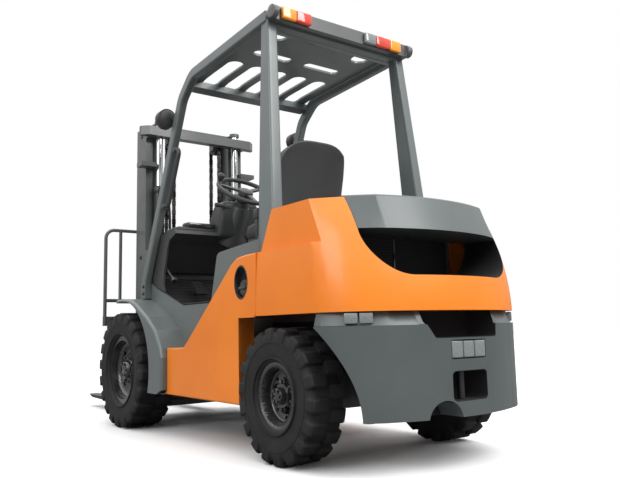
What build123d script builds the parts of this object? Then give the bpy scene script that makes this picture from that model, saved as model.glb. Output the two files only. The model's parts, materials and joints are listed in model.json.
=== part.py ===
from build123d import *
from math import hypot
import os

# A counterbalance forklift for three tonnes. Millimetres, +X to the forks, +Y to the driver's left,
# +Z up, with the origin on the floor under the middle of the truck.

# Driving dimensions of the whole truck
wheelbase = 1700
rear_overhang = 620
front_overhang = 490
fork_length = 1070
fork_width = 125
fork_thickness = 45
fork_spread = 245
fork_height = 52
guard_height = 2170
floor_height = 735
front = (rear_overhang + wheelbase - front_overhang - fork_length) / 2
rear = front - wheelbase
tail = rear - rear_overhang
fork_face = front + front_overhang

# Wheels
front_tyre_radius = 355
front_tyre_width = 225
front_tread = 1010
front_rim_radius = 190
front_flange_radius = 210
rear_tyre_radius = 295
rear_tyre_width = 178
rear_tread = 965
rear_rim_radius = 127
rear_flange_radius = 146
rim_wall = 8
lug_depth = 14
lug_share = 0.56
seat_gap = 0.3
bearing_gap = 0.05
hub_radius = 95
front_stub_radius = 60
rear_stub_radius = 30
column_radius = 45

# Rear axle and steering
kingpin_half = 370
kingpin_radius = 18
yoke_radius = 40
knuckle_height = 100
side_gap = 2

# Bodywork
side_half = 565
fender_half = 600
wall_half = 440
band_base = 645
ledge_height = 937
cap_base = 984
cap_height = 1135
skin = 12
seam_gap = 4
outlet_half = 430
cowl_half = 435
arch_radius = 430
pocket_radius = 355

# Mast
mast_top = 2010
mast_foot = 95
rail_outer = 380
rail_inner = 330
rail_back = front + 160
rail_depth = 160
rail_web = 18
rail_flange = 20
running_side_gap = 6
inner_outer = rail_inner - running_side_gap
inner_inner = 272
roller_radius = 59.5
lift_x = front + 118
lift_y = 300
barrel_radius = 36
rod_radius = 24
rod_gap = 0.1
crossbar_x = (front + 56, front + 125)
chain_y = 180
chain_width = 26
chain_thick = 12
chain_wheel_radius = 55
chain_wheel_x = front + 200
chain_wheel_z = 1945
tilt_y = 200
tilt_base = (front - 480, 560)
tilt_eye = (front + 30, 625)


def block(x, y, z, mode=Mode.ADD):
    """Add a box between a low and a high x, y and z."""
    with Locations(((x[0] + x[1]) / 2, (y[0] + y[1]) / 2, (z[0] + z[1]) / 2)):
        Box(x[1] - x[0], y[1] - y[0], z[1] - z[0], mode=mode)


def side_plate(outline, y, radius=0, mode=Mode.ADD):
    """Add a plate whose outline is seen from the side, between two y values."""
    with BuildSketch(Plane.XZ.offset(-y[1])) as profile:
        with BuildLine():
            Polyline(*outline, close=True)
        make_face()
        if radius:
            fillet(profile.vertices(), radius)
    extrude(to_extrude=profile.sketch, amount=y[1] - y[0], mode=mode)


def cross_plate(outline, x, radius=0, mode=Mode.ADD):
    """Add a plate whose outline is seen from behind, between two x values."""
    with BuildSketch(Plane.YZ.offset(x[0])) as profile:
        with BuildLine():
            Polyline(*outline, close=True)
        make_face()
        if radius:
            fillet(profile.vertices(), radius)
    extrude(to_extrude=profile.sketch, amount=x[1] - x[0], mode=mode)


def flat_plate(outline, z, radius=0, mode=Mode.ADD):
    """Add a plate whose outline is seen from above, between two z values."""
    with BuildSketch(Plane.XY.offset(z[0])) as profile:
        with BuildLine():
            Polyline(*outline, close=True)
        make_face()
        if radius:
            fillet(profile.vertices(), radius)
    extrude(to_extrude=profile.sketch, amount=z[1] - z[0], mode=mode)


def rod(start, end, radius, mode=Mode.ADD):
    """Add a round bar between two points."""
    start, end = Vector(start), Vector(end)
    with BuildSketch(Plane(origin=start, z_dir=end - start)) as section:
        Circle(radius)
    extrude(to_extrude=section.sketch, amount=(end - start).length, mode=mode)


def tube(points, bend, radius, mode=Mode.ADD):
    """Add a bent round bar along straight runs with round bends."""
    with BuildLine() as path:
        FilletPolyline(*points, radius=bend)
    with BuildSketch(Plane(origin=path.line @ 0, z_dir=path.line % 0)) as section:
        Circle(radius)
    sweep(sections=section.sketch, path=path.line, mode=mode)


def save(piece, name):
    """Label a finished piece and write its STEP file."""
    piece.part.label = name
    export_step(piece.part, f"parts/{name}.step")


os.makedirs("parts", exist_ok=True)


# Tyres: a carcass with straight tread lugs round both shoulders
def tyre(radius, width, rim_radius, flange_radius, rim_half, lugs):
    """Make a tyre about the Y axis, with its tread blocks."""
    half = width / 2
    base = radius - lug_depth
    seat = rim_radius + seat_gap
    lip = flange_radius + seat_gap
    bead = rim_half - seat_gap
    heel = rim_half + rim_wall + 3
    with BuildPart() as made:
        with BuildSketch(Plane.XY) as section:
            with BuildLine():
                Polyline(
                    (seat, -bead), (lip, -bead), (lip, -heel), (lip + 10, -half + 7), (base - 45, -half),
                    (base - 8, -half + 8), (base, -half + 30), (base, half - 30), (base - 8, half - 8),
                    (base - 45, half), (lip + 10, half - 7), (lip, heel), (lip, bead), (seat, bead),
                    close=True,
                )
            make_face()
        revolve(profiles=section.sketch, axis=Axis.Y)
        for side in (-1, 1):
            for lug in range(lugs):
                turn = 360 / lugs * (lug + (0.5 if side > 0 else 0))
                with BuildSketch(Plane.XY.rotated((0, turn, 0))) as block_face:
                    with BuildLine():
                        Polyline(
                            (base - 50, side * (half - 4)), (base - 42, side * half), (radius - 8, side * half),
                            (radius, side * (half - 12)), (radius, side * 8), (base - 4, side * 8),
                            (base - 4, side * (half - 32)), close=True,
                        )
                    make_face()
                across = Axis((0, 0, 0), (0, 1, 0))
                revolve(profiles=block_face.sketch, axis=across, revolution_arc=360 / lugs * lug_share)
    return made


def rim(radius, flange_radius, half, disc_at, hub_reach, stub_radius, holes):
    """Make a disc wheel about the Y axis, its outer face towards +Y."""
    wall = rim_wall
    with BuildPart() as made:
        with BuildSketch(Plane.XY) as section:
            with BuildLine():
                Polyline(
                    (radius, -half), (flange_radius, -half - 1), (flange_radius, -half - wall),
                    (radius - wall, -half - wall), (radius - wall, disc_at - wall),
                    (hub_radius, disc_at - 14 - wall), (hub_radius * 0.8, hub_reach[0]),
                    (stub_radius + bearing_gap, hub_reach[0]), (stub_radius + bearing_gap, hub_reach[1]),
                    (hub_radius * 0.72, hub_reach[1]), (hub_radius * 0.8, disc_at), (hub_radius, disc_at - 14),
                    (radius - wall - 10, disc_at), (radius - wall, half + wall), (flange_radius, half + wall),
                    (flange_radius, half + 1), (radius, half), close=True,
                )
            make_face()
        revolve(profiles=section.sketch, axis=Axis.Y)
        middle = (hub_radius + radius - wall) / 2
        with BuildSketch(Plane.XZ.offset(-disc_at - 40)) as windows:
            with PolarLocations(middle, holes):
                SlotOverall(32, 20, rotation=90)
        extrude(to_extrude=windows.sketch, amount=80, mode=Mode.SUBTRACT)
    return made


def placed(made, x, y, z, side):
    """Move a wheel part to its hub, turned so that its outer face looks outward."""
    turn = Location((x, y, z), (0, 0, 0 if side > 0 else 180))
    with BuildPart() as result:
        add(made.part.moved(turn))
    return result


front_tyre_y = front_tread / 2
rear_tyre_y = rear_tread / 2
front_half = front_tyre_width * 0.36
rear_half = rear_tyre_width * 0.36
front_tyre = tyre(front_tyre_radius, front_tyre_width, front_rim_radius, front_flange_radius, front_half, 20)
rear_tyre = tyre(rear_tyre_radius, rear_tyre_width, rear_rim_radius, rear_flange_radius, rear_half, 18)
front_hub = (-60, 52)
rear_hub = (-52, 42)
front_rim = rim(front_rim_radius, front_flange_radius, front_half, 38, front_hub, front_stub_radius, 8)
with BuildPart() as rear_rim:
    with BuildSketch(Plane.XY) as rear_rim_section:
        with BuildLine():
            Polyline(
                (rear_rim_radius, -rear_half), (rear_flange_radius, -rear_half - 1),
                (rear_flange_radius, -rear_half - rim_wall), (rear_rim_radius - rim_wall, -rear_half - rim_wall),
                (rear_rim_radius - rim_wall, 8), (70, 0), (55, 0), (50, rear_hub[0]),
                (rear_stub_radius + bearing_gap, rear_hub[0]), (rear_stub_radius + bearing_gap, rear_hub[1]),
                (52, rear_hub[1]), (56, 14), (72, 12), (rear_rim_radius - rim_wall, 24),
                (rear_rim_radius - rim_wall, rear_half + rim_wall), (rear_flange_radius, rear_half + rim_wall),
                (rear_flange_radius, rear_half + 1), (rear_rim_radius, rear_half), close=True,
            )
        make_face()
    revolve(profiles=rear_rim_section.sketch, axis=Axis.Y)
    with BuildSketch(Plane.XZ.offset(-60)) as rear_windows:
        with PolarLocations(95, 8):
            Circle(9)
    extrude(to_extrude=rear_windows.sketch, amount=80, mode=Mode.SUBTRACT)

for side, name in ((1, "left"), (-1, "right")):
    save(placed(front_tyre, front, side * front_tyre_y, front_tyre_radius, side), f"front_tyre_{name}")
    save(placed(front_rim, front, side * front_tyre_y, front_tyre_radius, side), f"front_rim_{name}")
    save(placed(rear_tyre, rear, side * rear_tyre_y, rear_tyre_radius, side), f"rear_tyre_{name}")
    save(placed(rear_rim, rear, side * rear_tyre_y, rear_tyre_radius, side), f"rear_rim_{name}")

# Front axle: a drive axle with its differential, brake drums and wheel stubs
axle_radius = 75
drum_radius = 150
drum_reach = 400
with BuildPart() as front_axle:
    rod((front, -drum_reach + 5, front_tyre_radius), (front, drum_reach - 5, front_tyre_radius), axle_radius)
    with Locations((front, 0, front_tyre_radius)):
        Sphere(145)
    for side in (-1, 1):
        rod((front, side * 342, front_tyre_radius), (front, side * drum_reach, front_tyre_radius), drum_radius)
        rod((front, side * drum_reach, front_tyre_radius),
            (front, side * (front_tyre_y + front_hub[1] - 6), front_tyre_radius), front_stub_radius)
save(front_axle, "front_axle")

# Rear axle: a beam hung on two centre pins, with a yoke and kingpin at each end
beam_low, beam_high = rear_tyre_radius - 75, rear_tyre_radius + 75
yoke_low = rear_tyre_radius - knuckle_height / 2 - side_gap
yoke_high = rear_tyre_radius + knuckle_height / 2 + side_gap
pivot_bracket_x = 128
with BuildPart() as rear_axle:
    flat_plate([
        (rear - 62, -190), (rear - 62, 190), (rear - 40, 290), (rear - 34, kingpin_half),
        (rear + 34, kingpin_half), (rear + 40, 290), (rear + 62, 190), (rear + 62, -190),
        (rear + 40, -290), (rear + 34, -kingpin_half), (rear - 34, -kingpin_half), (rear - 40, -290),
    ], (beam_low, beam_high))
    for side in (-1, 1):
        rod((rear, side * kingpin_half, beam_low), (rear, side * kingpin_half, beam_high), yoke_radius)
        inner, outer = sorted((side * 318, side * (kingpin_half + 60)))
        block((rear - 80, rear + 80), (inner, outer), (yoke_low, yoke_high), mode=Mode.SUBTRACT)
        rod((rear, side * kingpin_half, beam_low), (rear, side * kingpin_half, beam_high), kingpin_radius)
    rod((rear - pivot_bracket_x, 0, rear_tyre_radius), (rear + pivot_bracket_x, 0, rear_tyre_radius), 36)
save(rear_axle, "rear_axle")

# Knuckles: a block on the kingpin with the wheel stub and a steering arm
for side, name in ((1, "left"), (-1, "right")):
    pin_y = side * kingpin_half
    with BuildPart() as knuckle:
        rod((rear, pin_y, rear_tyre_radius - knuckle_height / 2),
            (rear, pin_y, rear_tyre_radius + knuckle_height / 2), yoke_radius - 2)
        rod((rear, pin_y, rear_tyre_radius), (rear, side * (rear_tyre_y + rear_hub[0] - 1), rear_tyre_radius), 44)
        rod((rear, pin_y, rear_tyre_radius), (rear, side * (rear_tyre_y + rear_hub[1] - 4), rear_tyre_radius),
            rear_stub_radius)
        rod((rear, pin_y, beam_low - 60), (rear, pin_y, beam_high + 60), kingpin_radius + bearing_gap,
            mode=Mode.SUBTRACT)
    save(knuckle, f"knuckle_{name}")

# Main frame: two rails, the cross plates and the carriers of the rear axle
rail_y = (300, 325)
frame_low, frame_high = 225, 715
frame_end = rear + pocket_radius + 15
rail_roof = rear_tyre_radius * 2 + 25
frame_tail = rear - 245
mast_side = front - 25
with BuildPart() as frame:
    for side in (-1, 1):
        low, high = sorted((side * rail_y[0], side * rail_y[1]))
        side_plate([
            (mast_side, frame_low + 20), (mast_side, 450), (front - 110, frame_high), (frame_tail, frame_high),
            (frame_tail, rail_roof), (frame_end, rail_roof), (frame_end, frame_low), (front - 120, frame_low),
        ], (low, high))
    for x, z in ((front - 620, (frame_low, 320)), (frame_end, (frame_low, frame_high)),
                 (rear - 60, (rail_roof, rail_roof + 60)), (frame_tail, (rail_roof, frame_high))):
        block((x, x + 40), (-rail_y[0], rail_y[0]), z)
    block((front - 560, front - 400), (-rail_y[0], rail_y[0]), (620, frame_high))
    for end in (-1, 1):
        near = rear + end * 78
        far = rear + end * pivot_bracket_x
        low, high = sorted((near, far))
        block((low, high), (-70, 70), (rear_tyre_radius - 55, rail_roof + 20))
    block((rear - pivot_bracket_x, rear + pivot_bracket_x), (-70, 70), (rail_roof, rail_roof + 60))
    block((rear + pivot_bracket_x, frame_end), (-60, 60), (rail_roof, rail_roof + 60))
    rod((rear - 200, 0, rear_tyre_radius), (rear + 200, 0, rear_tyre_radius), 36, mode=Mode.SUBTRACT)
    rod((front, -340, front_tyre_radius), (front, 340, front_tyre_radius), axle_radius, mode=Mode.SUBTRACT)
    for side in (-1, 1):
        for turn in (-1, 1):
            low, high = sorted((side * (tilt_y + 34 * turn - 8), side * (tilt_y + 34 * turn + 8)))
            side_plate([
                (tilt_base[0] - 60, 625), (tilt_base[0] - 35, tilt_base[1] - 30), (tilt_base[0] + 35, tilt_base[1] - 30),
                (tilt_base[0] + 60, 625),
            ], (low, high))
        rod((tilt_base[0], side * (tilt_y - 42), tilt_base[1]), (tilt_base[0], side * (tilt_y + 42), tilt_base[1]), 18)
save(frame, "frame")

# Engine and gearbox: one plain closed block under the hood
with BuildPart() as engine:
    block((front - 1285, front - 640), (-235, 235), (340, 700))
    block((front - 1236, front - 990), (-200, 200), (700, 900))
    for x in (front - 1240, front - 780):
        block((x, x + 60), (-rail_y[0] + seat_gap, rail_y[0] - seat_gap), (560, 620))
save(engine, "engine")

# Side tanks with the step, in the body colour, one each side
arch_front = rear + 293
arch_top = 650
panel_round = 9
fender_round = 18
panel_rear = rear + 141
for side, name in ((1, "left"), (-1, "right")):
    with BuildPart() as panel:
        low, high = sorted((side * (rail_y[1] + seat_gap), side * side_half))
        side_plate([
            (front - 602, 262), (front - 560, 236), (arch_front - 25, 234), (arch_front, 262), (arch_front, 380),
            (arch_front - 25, 500), (arch_front - 75, 590), (panel_rear, arch_top),
            (panel_rear, ledge_height), (front - 1467, ledge_height - 2), (front - 1392, 929), (front - 1335, 902),
            (front - 862, 535), (front - 810, 500), (front - 730, 494), (front - 602, 494),
        ], (low, high))
        face = panel.faces().sort_by(Axis.Y)[-1 if side > 0 else 0]
        fillet(face.edges(), panel_round)
        inner_low, inner_high = sorted((side * 300, side * (wall_half + 8)))
        block((panel_rear - 10, front - 400), (inner_low, inner_high), (floor_height - 245, 1000), mode=Mode.SUBTRACT)
        rod((rear, side * kingpin_half, 100), (rear, side * kingpin_half, arch_top - 10), pocket_radius,
            mode=Mode.SUBTRACT)
        with BuildSketch(Plane.XZ.offset(-side * (side_half + 5))) as recess:
            with Locations((front - 1430, 808)):
                Ellipse(62, 82)
        extrude(to_extrude=recess.sketch, amount=side * 45, mode=Mode.SUBTRACT)
    save(panel, f"side_tank_{name}")

# Front fenders: an arch over each drive wheel, the foot well's wall and the step
for side, name in ((1, "left"), (-1, "right")):
    with BuildPart() as fender:
        low, high = sorted((side * (wall_half - 20), side * fender_half))
        side_plate([
            (front + 100, 780), (front + 100, 799), (front - 5, 799), (front - 120, 788), (front - 210, 760),
            (front - 385, 675), (front - 504, 596), (front - 585, 490), (front - 600, 440), (front - 600, 262),
            (front - 540, 236), (front - 400, 236), (front - 380, 355),
        ], (low, high))
        face = fender.faces().sort_by(Axis.Y)[-1 if side > 0 else 0]
        crown = [edge for edge in face.edges() if edge.center().X < front + 99 and edge.center().Z > 262]
        fillet([edge for edge in crown if edge.center().X < front - 380.5 or edge.center().Z > 600], fender_round)
        low, high = sorted((side * (wall_half - 15), side * wall_half))
        side_plate([
            (front - 30, 700), (front - 30, 913), (front - 177, 855), (front - 535, floor_height),
            (front - 870, floor_height), (front - 870, 495), (front - 560, 495), (front - 400, 600),
        ], (low, high))
        rod((front, side * 330, front_tyre_radius), (front, side * 650, front_tyre_radius), arch_radius,
            mode=Mode.SUBTRACT)
        low, high = sorted((side * (wall_half + skin), side * (fender_half - skin)))
        side_plate([
            (front - 360, 236), (front - 585, 200), (front - 585, 440), (front - 500, 570), (front - 380, 655),
            (front - 340, 600),
        ], (low, high), mode=Mode.SUBTRACT)
    save(fender, f"front_fender_{name}")

# Floor plate with its sloping toe board
with BuildPart() as floor_plate:
    side_plate([
        (front - 72, 960), (front - 330, floor_height), (front - 870, floor_height), (front - 870, frame_high + seat_gap),
        (front - 335, frame_high + seat_gap), (front - 58, 955),
    ], (-wall_half + 15 + seat_gap, wall_half - 15 - seat_gap))
save(floor_plate, "floor_plate")

# Cowl: the dark dash between the front pillars, bored for the steering column
wheel_centre = (front - 545, 0, 1462)
column_foot = (front - 330, 0, 1150)
column_length = hypot(wheel_centre[0] - column_foot[0], wheel_centre[2] - column_foot[2])
column_x = (wheel_centre[0] - column_foot[0]) / column_length
column_z = (wheel_centre[2] - column_foot[2]) / column_length


def on_column(reach):
    """A point on the steering column, measured from its foot."""
    return (column_foot[0] + column_x * reach, 0, column_foot[2] + column_z * reach)


with BuildPart() as cowl:
    side_plate([
        (front - 75, 965), (front - 160, 1190), (front - 420, 1205), (front - 440, 1180), (front - 300, 1130),
        (front - 150, 965),
    ], (-cowl_half, cowl_half))
    rod(on_column(-30), on_column(200), column_radius + seat_gap, mode=Mode.SUBTRACT)
save(cowl, "cowl")

# Steering column and its wheel
with BuildPart() as steering_column:
    rod(on_column(0), on_column(column_length - 75), column_radius)
    rod(on_column(column_length - 75), on_column(column_length - 20), 16)
save(steering_column, "steering_column")

steering_radius = 180
with BuildPart() as steering_wheel:
    with BuildSketch(Plane(origin=wheel_centre, x_dir=(0, 1, 0), z_dir=(column_x, 0, column_z))) as spokes:
        Circle(42)
        with PolarLocations(0, 3, start_angle=90):
            Rectangle(steering_radius, 26, align=(Align.MIN, Align.CENTER))
    extrude(to_extrude=spokes.sketch, amount=-14)
    rim_plane = Plane(origin=wheel_centre, x_dir=(0, 1, 0), z_dir=(column_x, 0, column_z))
    with Locations(rim_plane):
        Torus(steering_radius, 14)
    rod(on_column(column_length - 68), on_column(column_length), 40)
    rod(on_column(column_length - 120), on_column(column_length - 18), 16 + bearing_gap, mode=Mode.SUBTRACT)
save(steering_wheel, "steering_wheel")

# Levers beside the wheel and pedals on the toe board
with BuildPart() as control_levers:
    block((front - 400, front - 250), (-390, -190), (1204.2, 1245))
    for lever in range(3):
        lever_y = -360 + 65 * lever
        rod((front - 320, lever_y, 1240), (front - 375, lever_y, 1395), 7)
        with Locations((front - 378, lever_y, 1403)):
            Sphere(20)
save(control_levers, "control_levers")

with BuildPart() as pedals:
    for pedal_y, wide in ((210, 70), (-60, 90), (-230, 60)):
        pad = Plane(origin=(front - 300, pedal_y, 850), x_dir=(0, 1, 0), z_dir=(-0.7, 0, 0.7))
        with BuildSketch(pad) as face:
            RectangleRounded(wide, 110, 10)
        extrude(to_extrude=face.sketch, amount=12)
        rod((front - 297, pedal_y, 853), (front - 239, pedal_y, 818.4), 9)
save(pedals, "pedals")

# Hood over the engine, which carries the seat and tips back on its rear hinge
hood_hinge = (front - 1497, 1000)
hood_top = 1005
hood_half = wall_half - 6
with BuildPart() as hood:
    with BuildSketch(Plane.XZ.offset(-hood_half)) as hood_side:
        with BuildLine():
            Polyline(
                (front - 885, floor_height + 8), (front - 955, hood_top - 12), (front - 985, hood_top),
                (front - 1475, hood_top + 30), (front - 1475, floor_height + 8), close=True,
            )
        make_face()
    extrude(to_extrude=hood_side.sketch, amount=2 * hood_half)
    side_plate([
        (front - 885 - skin, floor_height - 20), (front - 955 - skin, hood_top - skin - 10),
        (front - 1475 + skin, hood_top + 28 - skin), (front - 1475 + skin, floor_height - 20),
    ], (-hood_half + skin, hood_half - skin), mode=Mode.SUBTRACT)
    for side in (-1, 1):
        low, high = sorted((side * 300, side * 340))
        block((hood_hinge[0], front - 1470), (low, high), (984, 1016))
        rod((hood_hinge[0], side * 290, hood_hinge[1]), (hood_hinge[0], side * 350, hood_hinge[1]), 20)
        rod((hood_hinge[0], side * 280, hood_hinge[1]), (hood_hinge[0], side * 360, hood_hinge[1]), 8 + bearing_gap,
            mode=Mode.SUBTRACT)
save(hood, "hood")

# Seat: a base with slides, a cushion and a back
seat_centre = front - 1085
with BuildPart() as seat_base:
    block((seat_centre - 190, seat_centre + 190), (-200, 200), (hood_top + 32, hood_top + 92))
    side_plate([(seat_centre - 170, hood_top + 17.1), (seat_centre + 100, hood_top + 0.6), (seat_centre + 100, hood_top + 40),
                (seat_centre - 170, hood_top + 40)], (-160, 160))
    for side in (-1, 1):
        low, high = sorted((side * 205, side * 235))
        side_plate([(seat_centre - 190, hood_top + 60), (seat_centre + 60, hood_top + 60),
                    (seat_centre - 100, hood_top + 193.7), (seat_centre - 190, hood_top + 193.7)], (low, high))
        low, high = sorted((side * 195, side * 210))
        block((seat_centre - 190, seat_centre - 60), (low, high), (hood_top + 60, hood_top + 80))
save(seat_base, "seat_base")
with BuildPart() as seat_cushion:
    block((seat_centre - 150, seat_centre + 230), (-200, 200), (hood_top + 92 + seat_gap, hood_top + 180))
    fillet(seat_cushion.edges().filter_by(Axis.Z), 50)
save(seat_cushion, "seat_cushion")
with BuildPart() as seat_back:
    side_plate([
        (seat_centre - 155, hood_top + 200), (seat_centre - 240, 1560), (seat_centre - 225, 1600), (seat_centre - 170, 1600),
        (seat_centre - 140, 1560), (seat_centre - 60, hood_top + 215), (seat_centre - 80, hood_top + 192),
    ], (-225, 225))
save(seat_back, "seat_back")

# Overhead guard: pillars, roof rails and cross bars
rear_foot = (rear + 118, 522, ledge_height + seat_gap)
rear_head = (rear + 196, 462, guard_height - 60)
foot_depth, head_depth, post_width = 140, 64, 62
front_foot = (front - 60, 462, 905)
front_knee = (front - 560, 448, guard_height - 185)
front_brow = (front - 700, 448, guard_height - 75)
roof_half = 416
roof_end = rear_head[0] + 58
roof_back = rear_head[0] - head_depth / 2 - 1
handle_ends = (1690, 1360)
handle_foot = 50
handle_bulge = 108


def post_x(z, back=0):
    """The x of the front pillar's centre line at a height, moved back by a distance."""
    slope = (front_knee[0] - front_foot[0]) / (front_knee[2] - front_foot[2])
    return front_foot[0] + slope * (z - front_foot[2]) - back


def post_y(z):
    """The y of the left front pillar's centre line at a height."""
    slope = (front_knee[1] - front_foot[1]) / (front_knee[2] - front_foot[2])
    return front_foot[1] + slope * (z - front_foot[2])


with BuildPart() as guard_frame:
    for side in (-1, 1):
        with BuildSketch(Plane.XY.offset(rear_foot[2])) as foot:
            with Locations((rear_foot[0], side * (rear_foot[1] - post_width / 2))):
                RectangleRounded(foot_depth, post_width, 12)
        with BuildSketch(Plane.XY.offset(rear_head[2])) as head:
            with Locations((rear_head[0], side * (rear_head[1] - post_width / 2))):
                RectangleRounded(head_depth, post_width, 12)
        loft(sections=[foot.sketch, head.sketch])
        with BuildLine() as rail_line:
            FilletPolyline(
                (front_foot[0], side * front_foot[1], front_foot[2]),
                (front_knee[0], side * front_knee[1], front_knee[2]),
                (front_brow[0], side * front_brow[1], front_brow[2]),
                (rear_head[0] - 20, side * front_brow[1], guard_height - 40), radius=140,
            )
        rail_start = Plane(origin=rail_line.line @ 0, x_dir=(0, 1, 0), z_dir=rail_line.line % 0)
        with BuildSketch(rail_start) as rail_section:
            RectangleRounded(46, 62, 10)
        sweep(sections=rail_section.sketch, path=rail_line.line)
    side_plate([
        (front - 565, guard_height - 130), (front - 565, guard_height - 85), (front - 570, guard_height - 85),
        (front - 576.7, guard_height - 98.5), (front - 612, guard_height - 82.4), (front - 636, guard_height - 79),
        (front - 636, guard_height - 118),
    ], (-430, 430))
    for side in (-1, 1):
        block((front - 92, front - 27), sorted((side * (wall_half + seat_gap), side * 485)), (797.5, 902))
    for z in handle_ends:
        rod((post_x(z), post_y(z), z), (post_x(z, handle_foot - seat_gap), post_y(z), z), 16)
    block((roof_back, roof_end - seat_gap), (-440, 440), (guard_height - 80, guard_height - 20))
save(guard_frame, "guard_frame")

# Roof panel: slots over the driver and a stamped plate behind them
with BuildPart() as guard_roof:
    side_plate([
        (front - 577, guard_height - 98), (front - 612, guard_height - 82), (front - 680, guard_height - 71),
        (front - 760, guard_height - 67), (roof_end, guard_height - 42), (roof_end, guard_height - 30),
        (front - 762, guard_height - 55), (front - 684, guard_height - 58), (front - 606, guard_height - 69),
        (front - 570, guard_height - 84),
    ], (-roof_half, roof_half))
    with BuildSketch(Plane.XY.offset(guard_height - 170)) as roof_slots:
        for slot in range(5):
            with Locations((front - 790, (slot - 2) * 150)):
                SlotOverall(390, 98)
        for side in (-1, 1):
            with Locations((rear_head[0] + 136, side * 285)):
                Circle(54)
            with Locations((rear_head[0] + 362, side * 172)):
                SlotOverall(245, 60, rotation=90)
    extrude(to_extrude=roof_slots.sketch, amount=200, mode=Mode.SUBTRACT)
save(guard_roof, "guard_roof")

# Lamp bar across the back of the roof with its rounded ends
lamp_bar_x = rear_head[0] - 81
lamp_bar_z = guard_height - 36
with BuildPart() as rear_lamp_bar:
    block((lamp_bar_x, roof_back - seat_gap), (-455, 455), (lamp_bar_z - 34, lamp_bar_z + 34))
    for side in (-1, 1):
        rod((lamp_bar_x + 5, side * 440, lamp_bar_z), (lamp_bar_x + 5, side * 468, lamp_bar_z), 34)
save(rear_lamp_bar, "rear_lamp_bar")
for name, low, high in (("left", 237, 414), ("right", -384, -125)):
    with BuildPart() as lamp:
        block((lamp_bar_x - 22, lamp_bar_x - 0.3), (low, high), (lamp_bar_z - 30, lamp_bar_z + 30))
    save(lamp, f"rear_lamp_{name}")

# Grab handle behind the left front pillar, and a head lamp on the front of each
with BuildPart() as grab_handle:
    high, low = handle_ends
    tube([
        (post_x(high, handle_foot), post_y(high), high), (post_x(high, handle_bulge), post_y(high), high),
        (post_x(low, handle_bulge), post_y(low), low), (post_x(low, handle_foot), post_y(low), low),
    ], 30, 13)
save(grab_handle, "grab_handle")
lamp_z = 1893
with BuildPart() as headlamps:
    for side in (-1, 1):
        rod((front - 450, side * 490, lamp_z), (front - 372, side * 490, lamp_z), 60)
        block((front - 481, front - 449), sorted((side * 440, side * 470)), (lamp_z - 4, lamp_z + 4))
save(headlamps, "headlamps")

# Counterweight: base, band with the air outlet, and cap
def weight_outline(inset):
    """The counterweight's plan outline, drawn in by an inset."""
    half = side_half - inset * 0.25
    back = tail + inset
    corner = (tail + 60 + inset, 330)
    shoulder = (tail + 320 + inset * 0.5, half)
    mid = (tail + 145 + inset * 1.05, 475 - inset * 0.35)
    with BuildLine() as outline:
        Line((panel_rear - seam_gap, -half), (panel_rear - seam_gap, half))
        Line((panel_rear - seam_gap, half), shoulder)
        ThreePointArc(shoulder, mid, corner)
        ThreePointArc(corner, (back, 0), (corner[0], -corner[1]))
        ThreePointArc((corner[0], -corner[1]), (mid[0], -mid[1]), (shoulder[0], -shoulder[1]))
        Line((shoulder[0], -shoulder[1]), (panel_rear - seam_gap, -half))
    make_face(outline.edges())


def weight_body(levels):
    """Add a solid that follows the plan outline through levels of height and inset."""
    sections = []
    for z, inset in levels:
        with BuildSketch(Plane.XY.offset(z)) as section:
            weight_outline(inset)
        sections.append(section.sketch)
    loft(sections=sections)


shelf_height = 588
scoop_floor = 532
pocket_z = (277, 399)
pocket_half = 105
dome_radius = 85
with BuildPart() as counterweight_base:
    with BuildSketch(Plane.XY.offset(215)) as base_plan:
        weight_outline(0)
    extrude(to_extrude=base_plan.sketch, amount=shelf_height - 215)
    weight_body(((shelf_height, 10), (band_base - seat_gap, 30)))
    block((rear - 300, front), (-700, 700), (0, 800), mode=Mode.SUBTRACT)
    with BuildSketch(Plane.XZ.offset(-700)) as arch:
        with Locations((rear, 210)):
            Circle(480)
    extrude(to_extrude=arch.sketch, amount=1400, mode=Mode.SUBTRACT)
    for side in (-1, 1):
        rod((rear, side * kingpin_half, 100), (rear, side * kingpin_half, 700), pocket_radius, mode=Mode.SUBTRACT)
    cross_plate([
        (-pocket_half, pocket_z[0]), (pocket_half, pocket_z[0]), (pocket_half, pocket_z[1]), (-pocket_half, pocket_z[1]),
    ], (tail - 10, tail + 130), 22, mode=Mode.SUBTRACT)
    rod((tail + 60, 0, 250), (tail + 60, 0, 450), 16 + seat_gap, mode=Mode.SUBTRACT)
    cross_plate([(-pocket_half, 446), (pocket_half, 446), (pocket_half, 524), (-pocket_half, 524)],
                (tail - 10, tail + 40), 6, mode=Mode.SUBTRACT)
    cross_plate([(-195, scoop_floor), (178, scoop_floor), (226, 600), (236, 720), (-205, 720)],
                (tail - 10, tail + 160), 14, mode=Mode.SUBTRACT)
    rod((tail - 10, 140, 200), (tail + 130, 140, 200), dome_radius, mode=Mode.SUBTRACT)
save(counterweight_base, "counterweight_base")

with BuildPart() as tow_pin:
    rod((tail + 60, 0, 251), (tail + 60, 0, 443), 16)
save(tow_pin, "tow_pin")

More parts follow.
